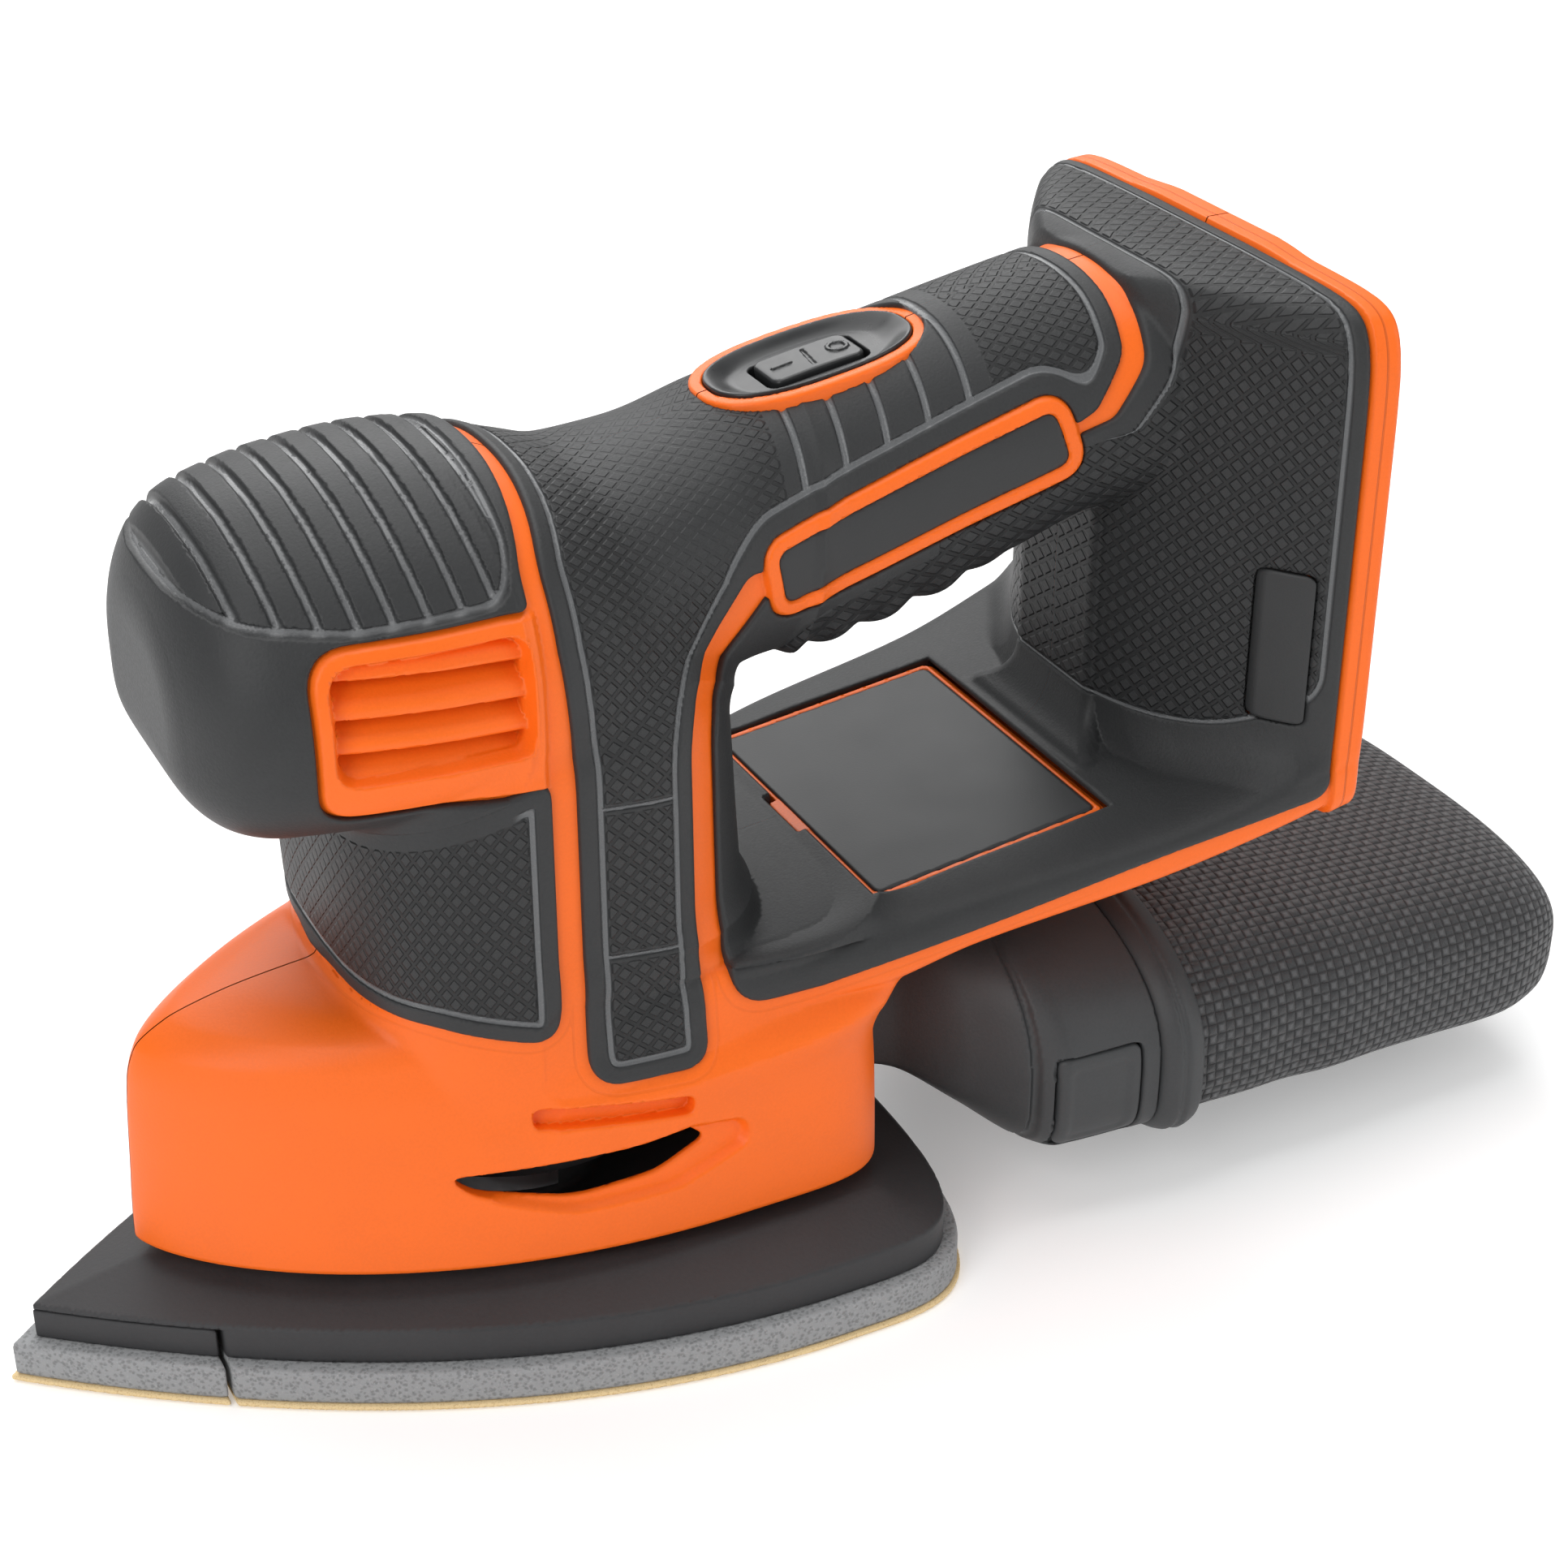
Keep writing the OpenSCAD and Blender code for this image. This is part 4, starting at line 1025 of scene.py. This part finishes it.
looks = {
    "orange": orange_plastic(),
    "grip": knurled_rubber("grip_rubber", "grip"),
    "front": knurled_rubber("front_rubber", "front"),
    "foot": knurled_rubber("foot_rubber", "foot"),
    "nose": nose_rubber(),
    "lid_plastic": plain("lid_plastic", ORANGE, 0.42),
    "plate": plain("plate_dark", (0.030, 0.031, 0.032), 0.48, grain=0.015, size=0.3),
    "charcoal": plain("charcoal_plastic", (0.046, 0.048, 0.050), 0.5, grain=0.025),
    "platen": plain("platen_plastic", (0.036, 0.036, 0.038), 0.55, grain=0.035, size=0.6),
    "black": plain("black_plastic", (0.018, 0.018, 0.019), 0.45),
    "boot": plain("boot_rubber", (0.022, 0.023, 0.024), 0.3, grain=0.003, size=1.2),
    "rubber": plain("leg_rubber", (0.03, 0.03, 0.031), 0.7, grain=0.03),
    "foam": foam_grey(),
    "paper": abrasive_paper(),
    "bag": bag_weave(),
    "steel": brushed_metal("steel", (0.62, 0.63, 0.65), 0.32),
    "magnet": brushed_metal("magnet", (0.16, 0.16, 0.17), 0.5),
    "copper": brushed_metal("copper", (0.78, 0.36, 0.20), 0.35),
    "bronze": brushed_metal("bronze", (0.62, 0.44, 0.20), 0.4),
    "wire": plain("wire_insulation", (0.42, 0.02, 0.02), 0.4, grain=0.01),
}


def place(piece, body_name, look, slot, *nodes):
    """Gives a piece its material and body, and hides the CAD nodes it stands for; slot is not used."""
    piece.data.materials.clear()
    piece.data.materials.append(looks[look])
    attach(piece, body_name)
    if nodes:
        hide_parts(*nodes)
    return piece


# ---------- housing pieces ----------

def grip_marks(p):
    """Numbers on the grip's points for its shader; every ..._marks function gives such numbers."""
    return {"edge": grip_edge(p), "u": p[:, 0], "v": p[:, 2] - np.abs(p[:, 1])}


def front_marks(p):
    return {"edge": front_zone.side(p), "u": p[:, 0] + np.abs(p[:, 1]), "v": p[:, 2]}


def foot_marks(p):
    x, z = p[:, 0], p[:, 2]
    edge = np.maximum(foot_zone(x, z), -plate_frame(p))
    on_top = step(z - 136.5, 1.2) * step(x - 96, 1)
    u = (x + np.abs(p[:, 1]) * (1 - on_top)) * 0.72
    return {"edge": edge, "u": u, "v": z - np.abs(p[:, 1]) * on_top,
            "knurl": foot_knurl(p), "under": under_knurl_zone(x, z)}


def nose_marks(p):
    across, zone = rib_groove(p)
    inside = step(-zone - 0.2, 0.4)
    return {"groove": np.maximum(step(0.4 - across, 0.2) * inside, step(0.36 - np.abs(zone), 0.2))}


SIDES = (("left", False), ("right", True))


def both_sides(name, field, low, high, pitch, marks, look, slot, screwed=True):
    """Left and right pieces of one form. Where it is screwed, only the right one has screw ways."""
    for side, mirrored in SIDES:
        shape = (lambda p: field(p, mirrored)) if screwed else field
        piece = carved(f"{name}_{side}_skin", shape, low, high, pitch, marks, mirrored, seam=True)
        place(piece, "housing", look, slot, f"{name}_{side}")


both_sides("housing", housing, (-61, -46, 14), (123, -SEAM, 148), 0.5,
           lambda p: {"edge": panel_edge(p)}, "orange", "housing_plastic")
both_sides("grip", grip, (-4, -33, 42), (93, -HAIR, 144), 0.48, grip_marks, "grip", "soft_grip")
both_sides("front_panel", front_panel, (-32, -33, 50), (0, -HAIR, 97), 0.5, front_marks, "front",
           "soft_grip", screwed=False)
both_sides("foot_panel", foot_panel, (18, -46, 43), (118, -HAIR, 146), 0.55, foot_marks, "foot",
           "soft_grip")
both_sides("name_plate", plate_piece(plate_zone, 0.75, 8), (30, -23, 102), (86, -8, 130), 0.5, None,
           "plate", "plate_dark", screwed=False)
both_sides("rating_plate", plate_piece(badge_zone, 1.15, 25), (103, -43, 76), (114, -28, 105), 0.35,
           None, "plate", "plate_dark", screwed=False)
place(carved("nose_cap_skin", nose_cap, (-51, -33, 84), (2, 33, 135), 0.43, nose_marks),
      "housing", "nose", "soft_grip", "nose_cap")


# ---------- switch ----------

def dish(x, y):
    """Height of the boot's hollowed top."""
    return 1.35 - 1.7 * step(0.86 - oval_rho(x, y, BOOT_A, BOOT_B), 0.16)


def switch_boot(p):
    """The oval cover, hollowed towards the hole that the rocker stands in."""
    x, y, z = switch_frame(p)
    f = smooth_max(switch_oval(x, y, -0.1), z - dish(x, y), 0.5)
    f = np.maximum(f, -3 - z)
    return without(f, np.maximum(rect(x, y, 8.0, 4.3, 1.6), -4 - z), 0.3)


def switch_rocker(p):
    """The rocking pad, with a raised dash and ring and a cut line between them."""
    x, y, z = switch_frame(p)
    top = 0.45 - 0.0035 * x * x
    dash = rect(x + 4.2, y, 1.6, 0.32, 0.3)
    ring = np.abs(disc(x - 4.6, y, 1.35)) - 0.3
    divider = rect(x - 0.12 * y, y, 0.28, 2.7, 0.25)
    raised = 0.28 * step(-np.minimum(dash, ring), 0.12) - 0.3 * step(-divider, 0.15)
    f = smooth_max(rect(x, y, 7.15, 4.0, 1.5), z - top - raised, 0.6)
    return np.maximum(f, -4.2 - z)


place(carved("switch_boot_skin", switch_boot, (32, -10, 124), (69, 10, 139), 0.3),
      "housing", "boot", "boot_rubber", "switch_boot")
place(carved("switch_rocker_skin", switch_rocker, (40, -5.5, 125), (61, 5.5, 136.5), 0.25),
      "rocker", "boot", "boot_rubber", "switch_rocker")


# ---------- storage lid ----------

LID_MIDDLE, LID_REACH = (LID_REAR + LID_LEN) / 2, (LID_LEN - LID_REAR) / 2


def storage_lid(p):
    """The lid's leaf with its thumb nib, and the hinge barrel with room for two clips."""
    x, y, z = lid_frame(p)
    leaf = np.maximum(rect(x - LID_MIDDLE, y, LID_REACH, LID_HALF, 1.4), slab(z, -LID_T, 0))
    nib = np.maximum(rect(x - LID_LEN, y, 1.2, 5, 0.6), slab(z, -LID_T, 0.2))
    barrel = np.maximum(disc(x - BARREL, z + BARREL, BARREL), np.abs(y) - LID_HALF)
    f = smooth_min(np.minimum(leaf, barrel), nib, 0.3)
    f = without(f, lid_recess(x, y, z, 0), 0.2)
    for side in (-1, 1):
        slot = shared(np.abs(y - side * 14) - 2.3, z + 2, x - 10.6)
        f = np.maximum(f, -slot)
    return f


def lid_recess(x, y, z, inset):
    """The insert's seat in the lid, made smaller all round by inset."""
    border = rect(x - LID_MIDDLE, y, LID_REACH - 0.8 - inset, LID_HALF - 1 - inset, 1.2)
    return np.maximum(border, -0.9 - z)


def lid_insert(p):
    x, y, z = lid_frame(p)
    return smooth_max(lid_recess(x, y, z, 0.12), z - 0.1, 0.35)


place(carved("storage_lid_skin", storage_lid, (44, -28, 48), (90, 28, 67), 0.5),
      "lid", "lid_plastic", "housing_plastic", "storage_lid")
place(carved("lid_insert", lid_insert, (44, -28, 56), (90, 28, 67), 0.5),
      "lid", "plate", "plate_dark", "storage_lid_panel")


# ---------- sanding base ----------

def iron_outline(tip, back, half, count=40):
    """Half outlines of the pad joined: bowed from the tip, square-shouldered at the back."""
    belly = back - BELLY_BACK
    u = np.linspace(1, 0, count) ** 1.6
    bow = np.stack([belly - (belly - tip) * u, -half * (1 - u * u)], 1)
    t = np.radians(np.linspace(0, 90, count)[1:])
    across = -half * np.clip(np.cos(t), 0, 1) ** 0.5
    shoulder = np.stack([belly + BELLY_BACK * np.sin(t) ** 0.5, across], 1)
    near = np.concatenate([bow, shoulder])
    far = near[-2:0:-1] * [1, -1]
    return np.concatenate([near, far])


pad_zone = Zone(iron_outline(-78.4, 60, 47.4))
DUST_HOLES, DUST_HOLE = [(-20, 14), (0, 24), (20, 23), (43, 7)], 3.5
LEGS = [(-31, 8.5), (34, 20)]
ORBIT = 0.8
SPLIT, SPLIT_GAP = -51.5, 0.35
PLATEN_INSET, DECK_TOP = 2.8, 15.4
HUB_RADIUS, HUB_TOP = 13.4, 19.2
CUP_RADIUS, CUP_BORE, CUP_TOP = 6.9, 5.4, 18


def base_layer(p, inset, low, high, k, part=0):
    """One layer of the base: part -1 is ahead of the split, 1 behind it, 0 the whole."""
    f = smooth_max(pad_zone(p[:, 0], p[:, 1]) + inset, slab(p[:, 2], low, high), k)
    for x, y in DUST_HOLES:
        bore = disc(p[:, 0] - x, np.abs(p[:, 1]) - y, DUST_HOLE)
        f = without(f, bore, k)
    if part:
        f = smooth_max(f, part * (SPLIT - p[:, 0]) + SPLIT_GAP, k)
    return f


def platen(p):
    """The backing plate: a thin rim, a sloping deck, the hub and the four leg cups."""
    x, y, z = p.T
    rim = base_layer(p, PLATEN_INSET, 11.2, 12.0, 0.5)
    rear = base_layer(p, PLATEN_INSET, 6.3, 11.9, 0.5, part=1)
    inner = pad_zone(x, y) + 3.2
    slope = inner * 0.322 + (z - 12.0) * 0.947
    deck = shared(slope, z - DECK_TOP, 11.4 - z, inner)
    f = joined(rim, rear, smooth_max(deck, z - DECK_TOP, 0.5))
    centre = disc(x - ORBIT, y, 0)
    f = smooth_min(f, np.maximum(centre - HUB_RADIUS, slab(z, 12, HUB_TOP)), 0.8)
    for lx, ly in LEGS:
        radius = disc(x - lx - ORBIT, np.abs(y) - ly, 0)
        f = smooth_min(f, np.maximum(radius - CUP_RADIUS, slab(z, 12, CUP_TOP)), 0.8)
        f = np.maximum(f, -np.maximum(radius - CUP_BORE, DECK_TOP - z))
    f = np.maximum(f, -np.minimum(np.maximum(centre - 11, 12.4 - z), centre - 8))
    holes = joined(*[disc(x - hx, np.abs(y) - hy, DUST_HOLE) for hx, hy in DUST_HOLES])
    return without(f, holes, 0.4)


BASE_LOW, BASE_HIGH = (-80, -49), (62, 49)


def base_piece(name, field, low, high, pitch, look, slot, node):
    """A piece of the base between two heights, riding on the platen."""
    piece = carved(name, field, (*BASE_LOW, low), (*BASE_HIGH, high), pitch)
    return place(piece, "platen", look, slot, node)


base_piece("platen_skin", platen, 5, 21, 0.6, "platen", "charcoal_plastic", "platen")
base_piece("tip_holder_skin", lambda p: base_layer(p, PLATEN_INSET, 6.3, 11.1, 0.5, -1), 5, 12.5, 0.5,
           "platen", "charcoal_plastic", "tip_holder")
for part, name in ((1, "foam_pad"), (-1, "foam_tip")):
    foam = base_piece(f"{name}_skin", lambda p: base_layer(p, 0.6, 0.75, 6.32, 0.6, part), -1, 8, 0.55,
                      "foam", "foam", name)
for part, name in ((1, "sanding_sheet"), (-1, "sanding_tip")):
    base_piece(f"{name}_skin", lambda p: base_layer(p, 0.1, 0.02, 0.78, 0.15, part), -1, 2, 0.4,
               "paper", "abrasive", name)


# ---------- dust box and bag ----------

funnel = Loft([
    [50.6, 23.5, 44.5, 15.5], [56, 21.5, 46, 18], [64, 16, 47, 27.5], [71, 11, 47, 36.5],
    [75, 9.6, 46.5, 39], [90, 9.4, 45, 40]], 4, 2.5, widest=24, ends=(1.5, 0.4))
collar = Loft([
    [90, 9.3, 45.3, 40.4], [92.4, 8.2, 46.2, 42], [94, 8, 46.3, 42.2], [97.2, 8.8, 45.4, 41.4]],
    4, 2.4, widest=24, ends=(0.8, 1.2))
TAB_X, TAB_Z = (72.8, 87), (13.4, 30.6)


def tab_box(p, grow):
    """Distance from the release tab's outline, made larger all round by grow."""
    x, z = p[:, 0], p[:, 2]
    half_x, half_z = (TAB_X[1] - TAB_X[0]) / 2 + grow, (TAB_Z[1] - TAB_Z[0]) / 2 + grow
    return rect(x - sum(TAB_X) / 2, z - sum(TAB_Z) / 2, half_x, half_z, 1.4)


def dust_funnel(p):
    """A hollow funnel with a spigot into the outlet and seats for the tabs."""
    x, y, z = p.T
    d = funnel(p)[0]
    f = np.maximum(d, -np.maximum(d + 2, 53 - x))
    f = without(f, np.maximum(tab_box(p, 0), 34 - np.abs(y)), 0.5)
    rear_lip = 0.5 * step(0.5 - np.abs(x - 70.4), 0.3) * step(-(y + 20), 3)
    spigot = shared(slab(x, 44, 52), np.abs(y) - 11.6, slab(z, 29.4, 39.6))
    f = smooth_min(f + rear_lip, spigot, 0.6)
    air = shared(slab(x, 40, 57), np.abs(y) - 9.8, slab(z, 31.2, 37.8))
    return np.maximum(f, -air)


def bag_collar(p):
    """The collar that holds the bag's mouth, with a line round it."""
    d = collar(p)[0]
    ridge = 0.35 * step(0.5 - np.abs(p[:, 0] - 93.2), 0.35)
    return np.maximum(d + ridge, -(d + 2.6))


def release_tab(p):
    """A tab flush with the funnel's side, with a shallow dip for the finger."""
    d = funnel(p)[0] + 0.25
    dip = 0.35 * step(-tab_box(p, -2.2), 0.8)
    f = smooth_max(d + dip, tab_box(p, -0.25), 0.6)
    return np.maximum(f, 36 - np.abs(p[:, 1]))


place(carved("dust_funnel_skin", dust_funnel, (43, -42, 8), (91, 42, 48), 0.65),
      "dust_box", "charcoal", "charcoal_plastic", "dust_funnel")
place(carved("bag_collar_skin", bag_collar, (89, -44, 6), (99, 44, 48), 0.6),
      "bag", "charcoal", "charcoal_plastic", "bag_collar")
for side, mirrored in SIDES:
    tab = carved(f"release_tab_{side}_skin", release_tab, (71, -41, 12), (89, -35, 32), 0.35,
                 mirrored=mirrored)
    place(tab, f"tab_{side}", "charcoal", "charcoal_plastic", f"release_tab_{side}")

bag_table = smooth_table([
    [96.6, 10.6, 43.8, 40.1], [120, 10, 43, 40.5], [145, 8.6, 41, 40], [159, 7.8, 39.4, 39],
    [166, 8.9, 37.6, 37.4], [169.6, 11.6, 34.8, 35], [171.4, 15.4, 31, 31.5], [172, 19, 27.4, 27]])
BAG_WIDEST = 23  # height of the bag's widest line
BAG_FACE = 171.2  # x where the rounded end turns into its flat face
FULL_TURN = 2 * math.pi


def bag_ring(x, angles):
    """One ring of the bag at x, with the folds and slight sag that cloth takes on."""
    low, high, half = (c[0] for c in look_up(bag_table, np.array([x])))
    c, s = np.cos(angles), np.sin(angles)
    power = np.where(s > 0, 2 / 2.9, 2 / 4)
    y = half * np.sign(c) * np.abs(c) ** power
    tall = np.where(s > 0, high - BAG_WIDEST, BAG_WIDEST - low)
    z = BAG_WIDEST + tall * np.sign(s) * np.abs(s) ** power
    middle = math.sin(math.pi * np.clip((x - 97) / 75, 0, 1))
    sag = 0.9 * middle * np.clip(s, 0, 1) * (1 - (y / 42) ** 2)
    fold = 0.28 * middle * np.sin(x * 0.23 + 3 * c + 1.3 * np.sin(x * 0.11))
    gather = 0.18 * np.exp(-((x - 98) / 4) ** 2) * np.sin(angles * 26)
    scale = 1 + (fold + gather) / 40
    return np.stack([np.full_like(y, x), y * scale, BAG_WIDEST + (z - BAG_WIDEST) * scale - sag], 1)


def even_angles(count):
    """Angles that space a ring's points evenly, how far round each point lies, and the whole way."""
    fine = np.linspace(0, FULL_TURN, 4001)
    trial = bag_ring(130.0, fine)
    run = np.concatenate([[0], np.cumsum(np.linalg.norm(np.diff(trial, axis=0), axis=1))])
    round_at = np.linspace(0, FULL_TURN, count, endpoint=False) / FULL_TURN * run[-1]
    return np.interp(round_at, run, fine), round_at, run[-1]


def dust_bag():
    """The bag as one woven skin: rings from the collar to the rounded end, and its closed end."""
    around = 260
    angles, round_at, whole = even_angles(around)
    rounded_end = 163 + 9 * np.sin(np.linspace(0.05, math.pi / 2, 18))
    xs = np.concatenate([np.linspace(96.6, 163, 90), rounded_end])
    rings = [bag_ring(x, angles) for x in xs]
    last = rings[-1]
    centre = last.mean(0)
    rings += [centre + (last - centre) * s for s in (0.9, 0.75, 0.55, 0.35, 0.15, 0.03)]
    points = np.concatenate(rings)
    i = np.arange(around)
    j = np.arange(len(rings) - 1)[:, None] * around
    after = (i + 1) % around
    faces = np.stack([j + i, j + around + i, j + around + after, j + after], -1).reshape(-1, 4)[:, ::-1]
    fitted = round(whole / 3) * 3    # the way round, brought to whole steps of 3 mm
    u = np.tile(round_at * fitted / whole, len(rings))
    gaps = [np.linalg.norm(b[0] - a[0]) for a, b in zip(rings, rings[1:])]
    v = np.repeat(np.concatenate([[0], np.cumsum(gaps)]), around)
    on_face = points[:, 0] > BAG_FACE
    u = np.where(on_face, points[:, 1] + 60, u)
    v = np.where(on_face, points[:, 2] + 60, v)
    return new_mesh("dust_bag_cloth", points, faces, marks={"u": u, "v": v})


place(dust_bag(), "bag", "bag", "bag_fabric", "dust_bag")

# ---------- materials for the CAD pieces that stay ----------

kept = {
    "steel": ["housing_screws", "lid_hinge_pin", "motor_can", "motor_shaft", "counterweight",
              "platen_bearing", "platen_screw", "tip_screw"],
    "copper": ["terminal_blades", "armature", "commutator"],
    "bronze": ["upper_bush", "lower_bush"],
    "magnet": ["motor_magnets"],
    "black": ["switch_module", "terminal_block", "motor_end_bell", "motor_brushes", "fan"],
    "charcoal": ["storage_tray"],
    "rubber": ["rubber_legs", "outlet_seal"],
    "wire": ["battery_wires", "motor_wires"],
}
for look, nodes in kept.items():
    for node in nodes:
        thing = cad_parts[node]
        for slot in thing.material_slots:
            slot.material = looks[look]


# ---------- floor, lights and camera ----------

def floor():
    """A wide pale disc just under the sheet."""
    count, radius, level = 64, 3000, -0.3
    t = np.linspace(0, FULL_TURN, count, endpoint=False)
    ring = np.stack([radius * np.cos(t), radius * np.sin(t), np.full(count, level)], 1)
    points = np.concatenate([ring, [[0, 0, level]]])
    i = np.arange(count)
    faces = np.stack([i, (i + 1) % count, np.full(count, count)], 1)
    piece = new_mesh("studio_floor", points, faces)
    piece.data.materials.append(floor_paint())


def softbox(name, position, size, power):
    light = bpy.data.lights.new(name, "AREA")
    light.shape, light.size, light.size_y, light.energy = "RECTANGLE", size[0], size[1], power
    thing = bpy.data.objects.new(name, light)
    bpy.context.scene.collection.objects.link(thing)
    thing.location = position
    thing.rotation_mode = "QUATERNION"
    thing.rotation_quaternion = (CENTRE - Vector(position)).to_track_quat("-Z", "Y")


CENTRE = Vector((0.0462, 0, 0.066))
floor()
softbox("top_light", (0.05, 0.2, 0.95), (0.9, 0.9), 7)
softbox("left_light", (-0.75, -0.5, 0.6), (0.5, 0.8), 4.5)
softbox("right_light", (0.7, -0.7, 0.4), (0.4, 0.7), 2)
softbox("back_light", (0.2, 0.8, 0.6), (0.8, 0.5), 4)

world = bpy.data.worlds.new("studio")
world.use_nodes = True
world.node_tree.nodes["Background"].inputs[0].default_value = (1, 1, 1, 1)
world.node_tree.nodes["Background"].inputs[1].default_value = 0.4
bpy.context.scene.world = world
bpy.context.scene.view_settings.view_transform = "Standard"

CAMERA_AZIMUTH, CAMERA_ELEVATION, CAMERA_DISTANCE = -27.16, 29.43, 0.439
az, el = math.radians(CAMERA_AZIMUTH), math.radians(CAMERA_ELEVATION)
back = Vector((math.sin(az) * math.cos(el), -math.cos(az) * math.cos(el), math.sin(el)))
camera = bpy.data.objects.new("camera", bpy.data.cameras.new("camera"))
camera.data.lens = 67.6
camera.data.sensor_width = 36
camera.location = CENTRE + back * CAMERA_DISTANCE
camera.rotation_mode = "QUATERNION"
camera.rotation_quaternion = (-back).to_track_quat("-Z", "Y")
bpy.context.scene.collection.objects.link(camera)
bpy.context.scene.camera = camera
